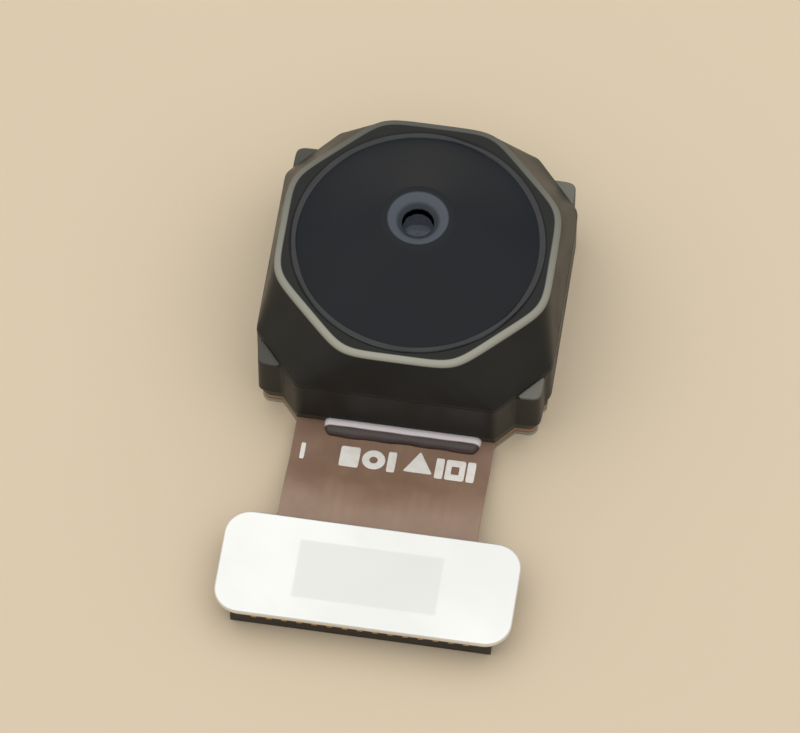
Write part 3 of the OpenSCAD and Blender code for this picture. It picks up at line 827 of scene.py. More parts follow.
@dataclass
class LensHolder:
    """The square foot and the eight-sided tower, as one surface about the lens axis.

    Every level of it is an outline seen from the axis, so the whole shell, outside and
    inside, is a grid of angle by level.

    Attributes:
        foot_norm: the norm that rounds the foot's corners by a quarter of a millimetre.
        collar_norm: the norm of the collar's crisp corners.
        window_norm: the norm of the corners of window and cavity.
        tower_rows: the places of the tower's levels, from 0 at the collar to 1 at the rim.
        shelf_highlight: the strength of the highlight painted on the corner shelves.
        shelf_highlight_spread: the mean and the swing of that, more to the right.
        rim_wear_and_highlight: the mean and the swing of the rim's paler colour, a painted
            highlight with wear, more to the front.
        pale_rim_ends: where the rim's top is last pale and first plain, in bevels from its edge.
    """

    foot_h: float = 1.45
    shelf_bevel: float = 0.08
    collar_proud: float = 0.27
    collar_h: float = 0.1
    tower_h: float = 1.6
    rim_corner_r: float = 1.5
    rim_bevel: float = 0.08
    thread_gap: float = 0.05
    glue_groove: float = 0.1
    foot_wall: float = 0.85
    cavity_h: float = 0.75
    ledge_t: float = 0.25
    window: tuple[float, float] = (3.9, 3.2)
    peg_r: float = 0.18
    peg_edge: float = 0.02
    edge: float = 0.025
    foot_norm: float = 34.0
    collar_norm: float = 110.0
    window_norm: float = 90.0
    tower_rows: tuple[float, ...] = (0.008, 0.02, 0.1, 0.25, 0.4, 0.55, 0.7, 0.85, 0.97)
    # a highlight painted on the corner shelves, stronger to the right
    shelf_highlight: float = 0.5
    shelf_highlight_spread: tuple[float, float] = (0.65, 0.35)
    # the rim's painted highlight with wear, stronger at the front
    rim_wear_and_highlight: tuple[float, float] = (0.62, 0.38)
    pale_rim_ends: tuple[float, float] = (1.9, 2.3)
    columns: int = 720
    peg_columns: int = 32

    def __post_init__(self) -> None:
        """Takes the holder's heights and radii from the frame, and works out its plan."""
        box = Box.of("lens_holder")
        self.rim_z = float(box.high[2])
        self.flat_r = float(box.high[0])
        self.bore_r = float(Box.of("lens_barrel").high[0]) + self.thread_gap
        self.shelf_z = self.rim_z - self.tower_h
        self.foot_z = self.shelf_z - self.foot_h
        self.peg_z = float(box.low[2])
        self.theta = turn(self.columns)
        self.foot_line = self.rectangle(*PLAN.foot, self.foot_norm)
        self.plan = np.maximum(self.foot_line, self.octagon(0))

    def rectangle(self, width: float, depth: float, sharpness: float) -> np.ndarray:
        """The radius of a rounded rectangle at every angle."""
        return planes_radius(self.theta, SQUARE, [width / 2, depth / 2] * 2, sharpness)

    def octagon(self, share: float) -> np.ndarray:
        """The tower's outline between the collar and the rim.

        The four flats and the four diagonals move in from the collar's places to those of
        the rim's regular octagon, the diagonals turn to 45 degrees, and the corners, crisp
        at the collar, grow rounder.

        Args:
            share: the place between them, 0 at the collar and 1 at the rim.

        Returns:
            The radius at every angle.
        """
        a, b, r = PLAN.collar_front_l / 2, PLAN.collar_side_l / 2, self.flat_r
        slope = math.atan2(r - a, r - b)
        diagonal = math.cos(slope) * r + math.sin(slope) * b
        rim, c = r - self.collar_proud, self.rim_corner_r
        slope += share * (math.pi / 4 - slope)
        flat, diagonal = r + share * (rim - r), diagonal + share * (rim - diagonal)
        diagonals = [slope, math.pi - slope, math.pi + slope, -slope]
        # the norm that leaves the rim's corners as far out as arcs of their radius would
        sharp, rounded = rim / EIGHTH_COS, (rim - c) / EIGHTH_COS + c
        crisp = 1 / self.collar_norm
        sharpness = 1 / (crisp + share * (math.log(sharp / rounded) / math.log(2) - crisp))
        return planes_radius(self.theta, SQUARE + diagonals, [flat] * 4 + [diagonal] * 4,
                             sharpness)

    def outside(self) -> list[Level]:
        """Levels from the underside up the outside to the rim's top.

        A rounded edge of width b is a quarter circle, b sin(a) up and b (1 - cos(a)) in.

        Returns:
            The levels, in order.
        """
        foot, plan, collar, rim = self.foot_line, self.plan, self.octagon(0), self.octagon(1)
        e, b, c = self.edge, self.shelf_bevel, self.rim_bevel
        # the corner shelves are painted paler as a highlight, more to the right and up their bevel
        mean, swing = self.shelf_highlight_spread
        shelf_highlight_share = self.shelf_highlight * (mean + swing * np.cos(self.theta)) * (foot > collar + b)
        # the rim's edge is painted paler, a highlight with wear, more to the front
        mean, swing = self.rim_wear_and_highlight
        rim_pale_share = mean - swing * np.sin(self.theta)

        rows = [Level(self.foot_z, plan - e),
                Level(self.foot_z + EDGE_STEP * e, plan - EDGE_STEP * e),
                Level(self.foot_z + e, plan), Level(self.foot_z + EDGE_HOLD * e, plan),
                Level(self.shelf_z - HOLD * b, plan)]
        rows += [Level(self.shelf_z - b + b * math.sin(a),
                       np.maximum(foot - b * (1 - math.cos(a)), collar), shelf_highlight_share * math.sin(a))
                 for a in QUARTER]
        rows += [Level(self.shelf_z, np.maximum(foot - HOLD * b, collar), shelf_highlight_share),
                 Level(self.shelf_z, collar + CREASE, shelf_highlight_share),
                 Level(self.shelf_z, collar), Level(self.shelf_z + CREASE, collar)]
        crease, top = self.shelf_z + self.collar_h, self.rim_z - c
        rows += [Level(crease - 2 * CREASE, collar)]
        rows += [Level(crease + share * (top - crease), self.octagon(share))
                 for share in self.tower_rows]
        rows += [Level(top + c * math.sin(a), rim - c * (1 - math.cos(a)), rim_pale_share) for a in QUARTER]
        pale_in, clean_in = self.pale_rim_ends
        return rows + [Level(self.rim_z, rim - HOLD * c, rim_pale_share),
                       Level(self.rim_z, rim - pale_in * c, rim_pale_share),
                       Level(self.rim_z, rim - clean_in * c)]

    def inside(self) -> list[Level]:
        """Levels from the lip of the glue groove down the inside to the underside.

        Returns:
            The levels, in order.
        """
        ring, e = np.ones_like(self.theta), self.edge
        lip, bore = (self.bore_r + self.glue_groove) * ring, self.bore_r * ring
        window = self.rectangle(*self.window, self.window_norm)
        cavity = self.rectangle(PLAN.foot[0] - 2 * self.foot_wall,
                                PLAN.foot[1] - 2 * self.foot_wall, self.window_norm)
        ceiling = self.foot_z + self.cavity_h
        ledge = ceiling + self.ledge_t
        rows = [(self.rim_z, lip + EDGE_HOLD * e), (self.rim_z, lip + e),
                (self.rim_z - EDGE_STEP * e, lip + EDGE_STEP * e), (self.rim_z - e, lip - e),
                (self.rim_z - self.glue_groove, bore), (ledge + CREASE, bore), (ledge, bore),
                (ledge, window + CREASE), (ledge, window), (ledge - CREASE, window),
                (ceiling + CREASE, window), (ceiling, window), (ceiling, window + CREASE),
                (ceiling, cavity - CREASE), (ceiling, cavity), (ceiling - CREASE, cavity),
                (self.foot_z + CREASE, cavity), (self.foot_z, cavity),
                (self.foot_z, cavity + CREASE), (self.foot_z, self.plan - EDGE_HOLD * e)]
        return [Level(height, outline) for height, outline in rows]

    def pegs(self) -> list[Surface]:
        """The two locating pegs under the foot, each a capped round rod.

        Returns:
            The pegs' surfaces.
        """
        x, y = ((size - self.foot_wall) / 2 for size in PLAN.foot)
        r, edge = self.peg_r, self.peg_edge
        radius = np.array([0, r - edge, r, r, 0])[:, None]
        height = np.array([self.peg_z, self.peg_z, self.peg_z + edge, self.foot_z, self.foot_z])
        return [Surface(polar(radius, turn(self.peg_columns)[None, :], height[:, None],
                              (side * x, side * y))) for side in (-1, 1)]

    def build(self) -> None:
        """Makes the holder in place of its CAD node."""
        rows = self.outside() + self.inside()
        height = np.array([row.height for row in rows])[:, None]
        points = polar(np.stack([row.outline for row in rows]), self.theta, height)
        highlight_and_wear = np.stack([np.broadcast_to(row.highlight_and_wear, self.theta.shape) for row in rows])
        shell = Surface(points, wrap_rows=True, highlight_and_wear=highlight_and_wear)
        make_piece("lens_holder_shell", [shell, *self.pegs()], HighlightAndWearPlastic(**HOLDER_PLASTIC),
                   ["lens_holder"])


@dataclass
class LensBarrel:
    """The coned nose with its flared aperture, stepped inside for the stack of elements.

    Attributes:
        sheen_ring_share: the inner radius of the painted sheen's ring as a share of the flare's.
    """

    aperture_r: float = 0.42
    flare_r: float = 0.8
    flare_h: float = 0.24
    nose_tip_r: float = 0.95
    front_wall: float = 0.45
    crown_recess: float = 0.16
    straight_h: float = 1.45
    flange_w: float = 0.5
    lens_gap: float = 0.01
    sheen_ring_share: float = 0.7
    columns: int = 256

    def __post_init__(self) -> None:
        """Takes the barrel's outside and the pockets of the stack from the frame."""
        box = Box.of("lens_barrel")
        self.radius, self.tip_z = float(box.high[0]), float(box.high[2])
        self.low_z = float(box.low[2])
        self.edge_z = self.low_z + self.straight_h
        self.rims = [float(Box.of(f"lens_element_{i}").high[0]) for i in (1, 2, 3, 4)]
        steps = ("light_shade_1", "light_shade_2", "lens_spacer", "lens_retainer")
        self.floors = [float(Box.of(node).high[2]) for node in steps]
        self.retainer_r = float(Box.of("lens_retainer").high[0])

    def profile(self) -> np.ndarray:
        """The section's closed path, with moulded corners.

        Returns:
            The path's points, each a radius and a height.
        """
        seat_z = self.tip_z - self.front_wall
        # each corner's radius, its height and how far it is rounded
        corners = [(self.rims[0] - self.flange_w, seat_z, 0.01),
                   (self.aperture_r, seat_z + self.crown_recess, 0.012),
                   (self.aperture_r, self.tip_z - self.flare_h, 0.02),
                   (self.flare_r, self.tip_z, 0.035), (self.nose_tip_r, self.tip_z, 0.06),
                   (self.radius, self.edge_z, 0.06), (self.radius, self.low_z, 0.04),
                   (self.retainer_r + self.lens_gap, self.low_z, 0.03),
                   (self.retainer_r + self.lens_gap, self.floors[3], 0.01)]
        # the elements' pockets, from the largest at the bottom up to the first
        ceilings = [seat_z, *self.floors]
        for i in (3, 2, 1, 0):
            pocket = self.rims[i] + self.lens_gap
            corners += [(pocket, ceilings[i + 1], 0.01), (pocket, ceilings[i], 0.01)]
        path = np.array(corners)
        return rounded_path(path[:, :2], path[:, 2])

    def build(self) -> None:
        """Makes the barrel in place of its CAD node."""
        finish = TurnedNose(**BARREL_PLASTIC, flare_z=self.tip_z - self.flare_h,
                            sheen_ring_r=(self.sheen_ring_share * self.flare_r, self.flare_r))
        make_piece("lens_barrel_shell", [revolve(self.profile(), self.columns)], finish,
                   ["lens_barrel"])


@dataclass
class BarrelGlue:
    """The ring of glue in the groove between barrel and tower, slightly uneven in height.

    Attributes:
        lap: how far it reaches into the barrel's wall.
        bed: how far it reaches into the groove's outer wall.
        foot_w: how much narrower it is at its foot.
        swell: how much higher than the CAD node's top its two edges stand.
        clear: how far under the rim it stays.
        dip: the depth of the trough across it.
        wave: the height of its waves.
        waves: each wave's number round the ring, its start and its share.
        rows: the rows across its top.
    """

    lap: float = 0.05
    bed: float = 0.03
    foot_w: float = 0.09
    swell: float = 0.02
    clear: float = 0.005
    dip: float = 0.02
    wave: float = 0.012
    waves: tuple[tuple[int, float, float], ...] = ((3, 0.6, 1.0), (7, 2.1, 0.6), (13, 0.0, 0.4))
    rows: int = 9
    columns: int = 360

    def build(self) -> None:
        """Makes the ring in place of its CAD node.

        Its top is a shallow trough across the ring, z = top - 4 dip t (1 - t) for t from
        the inner to the outer edge, plus a few slow waves round the ring.
        """
        box, rim_z = Box.of("barrel_glue"), float(Box.of("lens_holder").high[2])
        theta = turn(self.columns)[None, :]
        t = np.linspace(0, 1, self.rows)[:, None]
        inner_r = float(Box.of("lens_barrel").high[0]) - self.lap
        outer_r = float(box.high[0]) + self.bed
        waves = self.wave * sum(share * np.sin(count * theta + start)
                                for count, start, share in self.waves)
        top_z = (float(box.high[2]) + self.swell - 4 * self.dip * t * (1 - t)
                 + waves * np.sin(math.pi * t))
        top = polar(inner_r + t * (outer_r - inner_r), theta,
                    np.minimum(top_z, rim_z - self.clear))
        foot = polar(np.array([[outer_r - self.foot_w], [inner_r]]), theta, float(box.low[2]))
        ring = Surface(np.concatenate([top, foot]), wrap_rows=True)
        make_piece("barrel_glue_ring", [ring], RING_GLUE, ["barrel_glue"])


@dataclass
class FrontBead:
    """The bead of glue laid across the tail where it leaves the head.

    Attributes:
        end: the length over which it ends at either side.
        lumps: how far it swells and thins.
        waves: the two waves of that, in radians for each millimetre.
        wave_start: where the second one starts, in radians.
        lap: how far it reaches into the head's wall.
        sink: how far it reaches into the film under it.
        taller: how much of that depth is added to its height again.
        power: the superellipse's power.
        highlight_w: the width of the highlight painted on its crest in front of the head's wall.
        steps: the points round its section and along either end.
        rows: the rows between its ends.
    """

    end: float = 0.22
    lumps: float = 0.05
    waves: tuple[float, float] = (4.1, 2.3)
    wave_start: float = 1.0
    lap: float = 0.02
    sink: float = 0.01
    taller: float = 0.005
    power: float = 2.4
    highlight_w: float = 0.1
    steps: int = 14
    rows: int = 90

    def build(self) -> None:
        """Makes the bead in place of its CAD node.

        Its section is a quarter superellipse that swells and thins a little along the
        bead. Near each end it shrinks as a quarter circle does, sqrt(1 - e * e).
        """
        box = Box.of("front_bead")
        low, high = box.low[0], box.high[0]
        a = np.linspace(0, math.pi / 2, self.steps)
        x = np.concatenate([low + self.end * (1 - np.cos(a)),
                            np.linspace(low + self.end, high - self.end, self.rows)[1:-1],
                            high - self.end * (1 - np.sin(a))])[:, None]
        past = np.clip(np.abs(x - box.centre[0]) - (box.size[0] / 2 - self.end), 0, None) / self.end
        first, second = self.waves
        swell = 1 - self.lumps * (1 + np.sin(first * x) * np.sin(second * x + self.wave_start))
        share = np.sqrt(np.clip(1 - past ** 2, 0, 1)) * swell
        # two more points close the section inside the head's wall
        front = np.append(np.cos(a) ** (2 / self.power), [0.0, 0.0])
        rise = np.append(np.sin(a) ** (2 / self.power), [1.0, 0.0])
        back = np.append(np.zeros(self.steps), [self.lap, self.lap])
        y = box.high[1] - self.lap - (box.size[1] - self.lap) * front * share + back
        z = box.low[2] - self.sink + (box.size[2] + self.taller) * rise * share
        points = np.stack(np.broadcast_arrays(x, y, z), axis=-1)
        caps = np.broadcast_to(points[[0, -1]].mean(axis=1, keepdims=True), points[[0, -1]].shape)
        closed = np.concatenate([caps[:1], points, caps[1:]])
        wall_y = float(Box.of("lens_holder").low[1])
        # the crest is painted with a pale highlight, the rest dark as painted shade
        finish = HighlightCrestGlue(**BEAD_EPOXY, highlight_y=wall_y - self.highlight_w)
        make_piece("front_bead_glue", [Surface(closed)], finish, ["front_bead"])


@dataclass
class Tail:
    """The flex's top coverlay, from the head over the S bend to the connector's pad.

    Side view: flat at the head, two equal arcs, flat on the connector. Each height over
    the underside stays parallel to it.

    Attributes:
        board_inset: how far the flex under the head stays inside the head's plan.
        bend_margin: the flat length between the bend and the head, and the bend and the pad.
        emboss: how far the coverlay sinks between two tracks.
        track_margin: how far from the pad that begins.
        under_pad: how far from the pad's front the tail begins, inside the pad.
        row_step: the distance of the rows that hold a step in the outline.
        corner_rows: the rows at each round corner.
        rows: the rows of the pad, the bend and the head.
    """

    coverlay_t: float = 0.03
    board_inset: float = 0.1
    foot_corner_r: float = 0.25
    tail_w: float = 5.3
    fillet: float = 0.35
    pad_corner_r: float = 0.6
    pad_inset: float = 0.1
    bend_margin: float = 0.45
    track_count: int = 12
    track_pitch: float = 0.32
    emboss: float = 0.006
    track_margin: float = 0.3
    under_pad: float = 1.0
    row_step: float = 0.004
    corner_rows: int = 12
    rows: tuple[int, int, int] = (40, 90, 30)
    columns: int = 241

    def __post_init__(self) -> None:
        """Takes the tail's ends, heights and bend from the frame."""
        lower, upper = Box.of("bottom_coverlay"), Box.of("top_coverlay")
        plate, holder = Box.of("connector_plate"), Box.of("lens_holder")
        self.low_z = float(lower.low[2])
        self.high_z = float(lower.high[2]) - self.coverlay_t
        self.top = float(upper.high[2]) - self.high_z
        self.flat_r = float(holder.high[0])
        self.pad_back = float(plate.high[1]) - self.pad_inset
        self.pad_front = float(plate.low[1]) + self.pad_inset
        self.pad_half = float(plate.high[0]) - self.pad_inset
        self.bend_from = -self.flat_r - self.bend_margin
        self.bend_to = self.pad_back + self.bend_margin
        self.covered = self.track_count * self.track_pitch / 2
        run, rise = self.bend_from - self.bend_to, self.high_z - self.low_z
        self.angle = 2 * math.atan(rise / run)
        self.radius = run / (2 * math.sin(self.angle))

    def height(self, y: np.ndarray, lift: np.ndarray | float) -> np.ndarray:
        """The tail's height at a place y, lift over its underside.

        In the lower arc it is z0 + R - sqrt((R - lift)^2 - (y - from)^2), and in the upper
        one z1 - R + sqrt((R + lift)^2 - (y - to)^2).

        Args:
            y: places along the tail.
            lift: the height over the flex's underside, one value or an array like y.

        Returns:
            The height at each place.
        """
        r, lift = self.radius, np.asarray(lift, dtype=float)
        before = np.clip(self.bend_from - y, 0, None)
        after = np.clip(y - self.bend_to, 0, None)
        lower = self.low_z + r - np.sqrt(np.clip((r - lift) ** 2 - before ** 2, 0, None))
        upper = self.high_z - r + np.sqrt(np.clip((r + lift) ** 2 - after ** 2, 0, None))
        middle = (self.bend_from + self.bend_to) / 2 + lift * math.sin(self.angle)
        return np.where(y >= middle, lower, upper)

    def band(self, y: np.ndarray, low: float, high: float, half: float,
             corner: float) -> np.ndarray:
        """Half the width of a band with round corners: half - c + sqrt(c^2 - gone^2) inside it.

        Args:
            y: places along the tail.
            low: the band's front end.
            high: its back end.
            half: half its full width.
            corner: its corners' radius c.

        Returns:
            The half width at each place, 0 outside the band.
        """
        gone = np.clip(np.maximum(low + corner - y, y - high + corner), 0, corner)
        drawn = corner - np.sqrt(np.clip(corner ** 2 - gone ** 2, 0, None))
        return np.where((y >= low) & (y <= high), half - drawn, 0)

    def half_width(self, y: np.ndarray) -> np.ndarray:
        """Half the flex's width: the widest of foot, collar, tail, fillets and pad.

        Args:
            y: places along the tail.

        Returns:
            The half width at each place.
        """
        i, half = self.board_inset, self.tail_w / 2
        foot = self.band(y, i - PLAN.foot[1] / 2, PLAN.foot[1] / 2 - i, PLAN.foot[0] / 2 - i,
                         self.foot_corner_r)
        r, a, b = self.flat_r - i, PLAN.collar_front_l / 2, PLAN.collar_side_l / 2
        diagonal = a + (r - a) * np.clip((r - np.abs(y)) / (r - b), 0, 1)
        collar = np.where(np.abs(y) <= r, diagonal, 0)
        tail = np.where((y < 0) & (y > self.pad_front + self.under_pad), half, 0)
        near = np.clip(y - self.pad_back, 0, self.fillet)
        arc = self.fillet - np.sqrt(self.fillet ** 2 - (self.fillet - near) ** 2)
        fillets = np.where((y >= self.pad_back) & (y < 0), half + arc, 0)
        pad = self.band(y, self.pad_front, self.pad_back, self.pad_half, self.pad_corner_r)
        return np.max([foot, collar, tail, fillets, pad], axis=0)

    def places(self) -> np.ndarray:
        """Places along the flex for the rows, close together at corners and at steps.

        Returns:
            The places, from the pad's front to the head's back.
        """
        back, foot = self.flat_r - self.board_inset, PLAN.foot[1] / 2 - self.board_inset
        steps = np.array([back, foot, -foot, self.pad_back])
        rounding = 1 - np.cos(np.linspace(0, math.pi / 2, self.corner_rows))
        pad, small = rounding * self.pad_corner_r, rounding * self.foot_corner_r
        pad_rows, bend_rows, head_rows = self.rows
        spans = [np.linspace(self.pad_front, self.pad_back, pad_rows), self.pad_front + pad,
                 self.pad_back - pad, self.pad_back + small,
                 self.pad_back + rounding * self.fillet,
                 np.linspace(self.pad_back, -back, bend_rows), small - foot, foot - small,
                 np.linspace(-back, back, head_rows),
                 [PLAN.collar_side_l / 2, -PLAN.collar_side_l / 2],
                 steps, steps + self.row_step, steps - self.row_step]
        every = np.unique(np.round(np.concatenate(spans), 5))
        return every[(every >= self.pad_front) & (every <= back)]

    def coverlay(self) -> Surface:
        """The film as a closed shell whose top sinks a little between the tracks.

        Between two tracks it sinks by emboss times half of 1 + cos of a full turn each pitch.

        Returns:
            The shell, its ends closed along their middle lines.
        """
        y = self.places()[:, None]
        x = self.half_width(y) * np.linspace(-1, 1, self.columns)[None, :]
        y = y + 0 * x
        edge = np.clip((self.covered - np.abs(x)) / self.track_pitch, 0, 1)
        bare = (y < -self.flat_r) & (y > self.pad_back - self.track_margin)
        wave = 0.5 * (1 + np.cos(FULL_TURN * x / self.track_pitch))
        lift = self.top - self.emboss * wave * edge * bare
        top = np.stack([x, y, self.height(y, lift)], axis=-1)
        bottom = np.stack([x, y, self.height(y, self.top - self.coverlay_t + 0 * x)], axis=-1)
        middle = (top + bottom) / 2
        ring = np.concatenate([top, middle[:, -1:], bottom[:, ::-1], middle[:, :1]], axis=1)
        caps = ring[[0, -1]]
        caps[..., 1:] = middle[[0, -1], :, 1:].mean(axis=1, keepdims=True)
        return Surface(np.concatenate([caps[:1], ring, caps[1:]]))

    def build(self) -> None:
        """Makes the coverlay in place of its CAD node."""
        finish = TrackedFilm(**COVERLAY, pitch=self.track_pitch, reach=self.covered)
        make_piece("top_coverlay_film", [self.coverlay()], finish,
                   ["top_coverlay"])


class Sign(Enum):
    """A generic printed sign's outline: its sides' directions in turns, and their distances."""

    BAR = ((0, 0.25, 0.5, 0.75), (0.11, 0.33, 0.11, 0.33))
    BLOCK = ((0, 0.25, 0.5, 0.75), (0.26, 0.33, 0.26, 0.33))
    TRIANGLE = ((1 / 12, 5 / 12, 0.75), (0.23, 0.23, 0.23))
    RING = (tuple(k / 24 for k in range(24)), (0.33,) * 24)
    TICK = ((0, 0.25, 0.5, 0.75), (0.06, 0.26, 0.06, 0.26))


@dataclass
class PrintedSigns:
    """Generic white signs printed across the tail.

    Attributes:
        tail: the tail that carries them.
        line: the row's place along the tail.
        row: each sign with its place across the tail and the share of it left open inside.
        ink_t: the ink's thickness.
        norm: the norm that rounds the signs' corners.
        hold: the share of a sign between its edge and the row that keeps its middle flat.
        closed: the open share of a closed sign, so small that its points merge.
        columns: the points round each sign.
    """

    tail: Tail
    line: float = -4.86
    row: tuple[tuple[Sign, float, float], ...] = (
        (Sign.TICK, -2.34, 0.0), (Sign.BLOCK, -1.08, 0.0), (Sign.RING, -0.44, 0.36),
        (Sign.BAR, 0.04, 0.0), (Sign.TRIANGLE, 0.76, 0.0), (Sign.BAR, 1.32, 0.0),
        (Sign.BLOCK, 1.74, 0.4), (Sign.BAR, 2.16, 0.0))
    ink_t: float = 0.008
    norm: float = 14.0
    hold: float = 0.06
    closed: float = 1e-4
    columns: int = 64

    def sign(self, kind: Sign, x: float, hole: float) -> Surface:
        """One sign laid on the coverlay: nested outlines on its top, and again on its foot.

        Args:
            kind: the sign.
            x: its place across the tail.
            hole: the share of it left open inside.

        Returns:
            Its surface, closed through the hole where it has one.
        """
        turns, distances = kind.value
        theta, hold, inner = turn(self.columns), self.hold, max(hole, self.closed)
        shares = np.array([inner, hole + hold, 1 - hold, 1, 1, 1 - hold, hole + hold, inner])
        outline = planes_radius(theta, np.array(turns) * FULL_TURN, distances, self.norm)
        points = polar(shares[:, None] * outline, theta, 0.0, (x, self.line))
        lifts = np.repeat([self.ink_t, -self.tail.emboss], 4)[:, None]
        y = points[..., 1]
        points[..., 2] = self.tail.height(y, self.tail.top + lifts + 0 * y)
        return Surface(points, wrap_rows=hole > 0)

    def build(self) -> None:
        """Makes the signs."""
        make_piece("printed_signs", [self.sign(*place) for place in self.row], WHITE_INK)


@dataclass
class ConnectorPlate:
    """The bright steel plate on the connector's back, very slightly dished.

    Attributes:
        edge: the width of its rounded edges.
        dish: how far its middle lies under its rim.
        rows: the rows across each face.
    """

    corner_r: float = 0.7
    edge: float = 0.045
    dish: float = 0.012
    rows: int = 16

    def build(self) -> None:
        """Makes the plate in place of its CAD node.

        Nested outlines draw in from the edge on both faces, and the upper edge is a quarter
        circle. The dish lowers each point by dish (1 - (x / a)^2) (1 - (y / b)^2), so the
        rim keeps its height.
        """
        box, e, n = Box.of("connector_plate"), self.edge, self.rows
        (width, depth), centre = box.size[:2].tolist(), box.centre[:2].tolist()
        low, high = float(box.low[2]), float(box.high[2])
        inner = np.linspace(depth / 2, EDGE_HOLD * e, n)
        inset = np.concatenate([inner, [e, EDGE_STEP * e, 0, 0], e * (1 - np.cos(QUARTER)),
                                inner[::-1]])
        height = np.concatenate([np.full(n + 1, low),
                                 [low + EDGE_STEP * e, low + e, low + EDGE_HOLD * e],
                                 high - e * (1 - np.sin(QUARTER)), np.full(n, high)])
        flat = rounded_rectangle(width, depth, self.corner_r, inset)
        share = flat / (box.size[:2] / 2)
        sunk = self.dish * (1 - share[..., 0] ** 2) * (1 - share[..., 1] ** 2)
        points = np.concatenate([flat + box.centre[:2], (height[:, None] - sunk)[..., None]],
                                axis=-1)
        make_piece("connector_plate_sheet", [Surface(points)],
                   FieldedPlate(**BRIGHT_SHEET, centre=tuple(centre)),
                   ["connector_plate"])


@dataclass
class PlainNodes:
    """The CAD nodes whose shape is kept, each with its finish and the width of its edges."""

    finishes: tuple[tuple[str, Finish, float], ...] = (
        ("lens_element_1", LENS_PLASTIC, 0.0), ("lens_element_2", LENS_PLASTIC, 0.0),
        ("lens_element_3", LENS_PLASTIC, 0.0), ("lens_element_4", LENS_PLASTIC, 0.0),
        ("light_shade_1", SHADE_FILM, 0.0), ("light_shade_2", SHADE_FILM, 0.0),
        ("lens_spacer", SHADE_FILM, 0.0), ("lens_retainer", SHADE_FILM, 0.02),
        ("infrared_filter", FILTER_GLASS, 0.01), ("filter_glue", EPOXY, 0.0),
        ("sensor_die", SILICON, 0.0), ("die_glue", EPOXY, 0.0), ("bond_wires", GOLD_WIRE, 0.0),
        ("capacitors", CERAMIC, 0.01), ("holder_glue", EPOXY, 0.0), ("sensor_board", BOARD, 0.01),
        ("flex_circuit", POLYIMIDE, 0.0), ("copper_tracks", COPPER, 0.0),
        ("bottom_coverlay", Finish(**COVERLAY), 0.0), ("back_stiffener", STAINLESS, 0.015),
        ("stiffener_glue", ADHESIVE, 0.0), ("plate_glue", ADHESIVE, 0.0),
        ("connector_housing", CONNECTOR_PLASTIC, 0.02), ("connector_contacts", CONTACT_METAL, 0.01),
        ("hold_down_tabs", TINNED, 0.015))

    def build(self) -> None:
        """Dresses every kept node."""
        for node, finish, edge in self.finishes:
            dress_node(node, finish, edge)


@dataclass(frozen=True)
class Lamp:
    """A rectangular lamp that faces the part.

    Attributes:
        name: its name.
        azimuth: its direction round the part, in degrees from the front.
        elevation: its height over the horizon, in degrees.
        distance: its distance from the part's middle, in millimetres.
        size: its width and height, in millimetres.
        watts: its power.
        colour: its colour, as sRGB hex.
    """

    name: str
    azimuth: float
    elevation: float
    distance: float
    size: tuple[float, float]
    watts: float
    colour: str


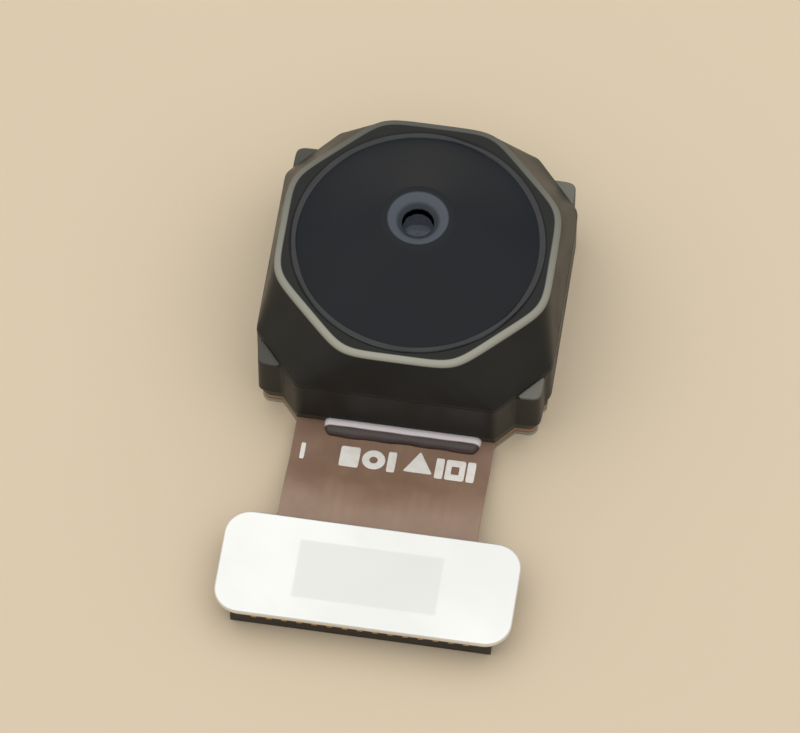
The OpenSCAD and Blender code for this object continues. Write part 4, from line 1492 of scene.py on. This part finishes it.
@dataclass
class Studio:
    """A pale sand floor, a large soft key above the part, a weak fill and a pale world.

    Attributes:
        floor_size: the floor's width, in millimetres.
        azimuth: the camera's direction round the part, in degrees from the front.
        elevation: the camera's height over the horizon, in degrees.
        distance: the camera's distance from the part's middle, in millimetres.
        lens: the camera's focal length, in millimetres.
        sensor: the width of its sensor, in millimetres.
        clip: the nearest and farthest distance that it sees, in metres.
        world_colour: the world's colour, as sRGB hex.
        ambient: the world's strength as light on the part.
        background: its strength where it is seen, reflected or seen through glass.
        lamps: the lamps.
    """

    floor_size: float = 1200.0
    azimuth: float = 8.7
    elevation: float = 60.2
    distance: float = 200.0
    lens: float = 342.0
    sensor: float = 36.0
    clip: tuple[float, float] = (0.01, 10.0)
    world_colour: str = "#eef0f2"
    ambient: float = 0.75
    background: float = 0.68
    lamps: tuple[Lamp, ...] = (
        Lamp("key", 172.0, 86.0, 320.0, (800.0, 640.0), 0.95, "#fffaf2"),
        Lamp("fill", 282.0, 24.0, 320.0, (260.0, 120.0), 0.05, "#f6dfb6"))

    def __post_init__(self) -> None:
        """Takes the part's middle from the frame."""
        low, high = (np.array(corner) for corner in CAD_BOUNDS)
        self.middle = (low + high) / 2

    def floor(self) -> None:
        """Lays the floor under the part."""
        side = np.array([-0.5, 0.5]) * self.floor_size * METRES_PER_MM
        corners = [(side[i], side[j], 0.0) for i, j in ((0, 0), (1, 0), (1, 1), (0, 1))]
        mesh = bpy.data.meshes.new("floor")
        mesh.from_pydata(corners, [], [(0, 1, 2, 3)])
        mesh.materials.append(FLOOR_PAINT.build())
        piece = bpy.data.objects.new("floor", mesh)
        bpy.context.scene.collection.objects.link(piece)

    def hang(self, lamp: Lamp) -> None:
        """Hangs a lamp round the part.

        Args:
            lamp: the lamp's place, size, power and colour.
        """
        data = bpy.data.lights.new(lamp.name, "AREA")
        data.shape = "RECTANGLE"
        data.size, data.size_y = (side * METRES_PER_MM for side in lamp.size)
        data.energy = lamp.watts
        data.color = linear(lamp.colour)[:3]
        self.aim(bpy.data.objects.new(lamp.name, data), lamp.azimuth, lamp.elevation,
                 lamp.distance)

    def aim(self, piece: bpy.types.Object, azimuth: float, elevation: float,
            distance: float) -> None:
        """Places a lamp or camera round the part and turns it to the part's middle.

        Args:
            piece: the lamp or camera.
            azimuth: its direction round the part, in degrees from the front.
            elevation: its height over the horizon, in degrees.
            distance: its distance from the part's middle, in millimetres.
        """
        a, e = math.radians(azimuth), math.radians(elevation)
        back = np.array([math.sin(a) * math.cos(e), -math.cos(a) * math.cos(e), math.sin(e)])
        side = np.array([math.cos(a), math.sin(a), 0.0])
        turned = np.eye(4)
        turned[:3] = np.stack([side, np.cross(back, side), back,
                               self.middle + back * distance * METRES_PER_MM], axis=1)
        bpy.context.scene.collection.objects.link(piece)
        piece.matrix_world = turned.T.tolist()

    def world(self) -> None:
        """A pale world: its own light for the part, and a lighter backdrop for what is seen."""
        world = bpy.data.worlds.new("pale_world")
        bpy.context.scene.world = world
        world.use_nodes = True
        tree = world.node_tree
        tree.nodes.clear()
        seen: Socket | float = 0.0
        for ray in ("Is Camera Ray", "Is Glossy Ray", "Is Transmission Ray"):
            seen = add_node(tree, "Math", {"operation": "MAXIMUM", 0: seen,
                                           1: add_node(tree, "LightPath", output=ray)})
        strength = add_node(tree, "MapRange", {"Value": seen, "To Min": self.ambient,
                                               "To Max": self.background})
        shade = add_node(tree, "Background", {"Color": self.world_colour, "Strength": strength})
        add_node(tree, "OutputWorld", {"Surface": shade})

    def camera(self) -> None:
        """Sets the camera up in front of the part, looking down on it."""
        data = bpy.data.cameras.new("camera")
        data.lens, data.sensor_width = self.lens, self.sensor
        data.clip_start, data.clip_end = self.clip
        piece = bpy.data.objects.new("camera", data)
        self.aim(piece, self.azimuth, self.elevation, self.distance)
        bpy.context.scene.camera = piece

    def build(self) -> None:
        """Makes the floor, the world, the lamps and the camera."""
        self.floor()
        self.world()
        for lamp in self.lamps:
            self.hang(lamp)
        self.camera()
        bpy.context.scene.view_settings.view_transform = "Standard"


def main() -> None:
    """Builds the studio and the part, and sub-assembly by sub-assembly."""
    logging.basicConfig(level=logging.INFO, format="%(name)s: %(message)s")
    Studio().build()
    LensHolder().build()
    LensBarrel().build()
    BarrelGlue().build()
    FrontBead().build()
    tail = Tail()
    tail.build()
    PrintedSigns(tail).build()
    ConnectorPlate().build()
    PlainNodes().build()


if __name__ == "__main__":
    main()
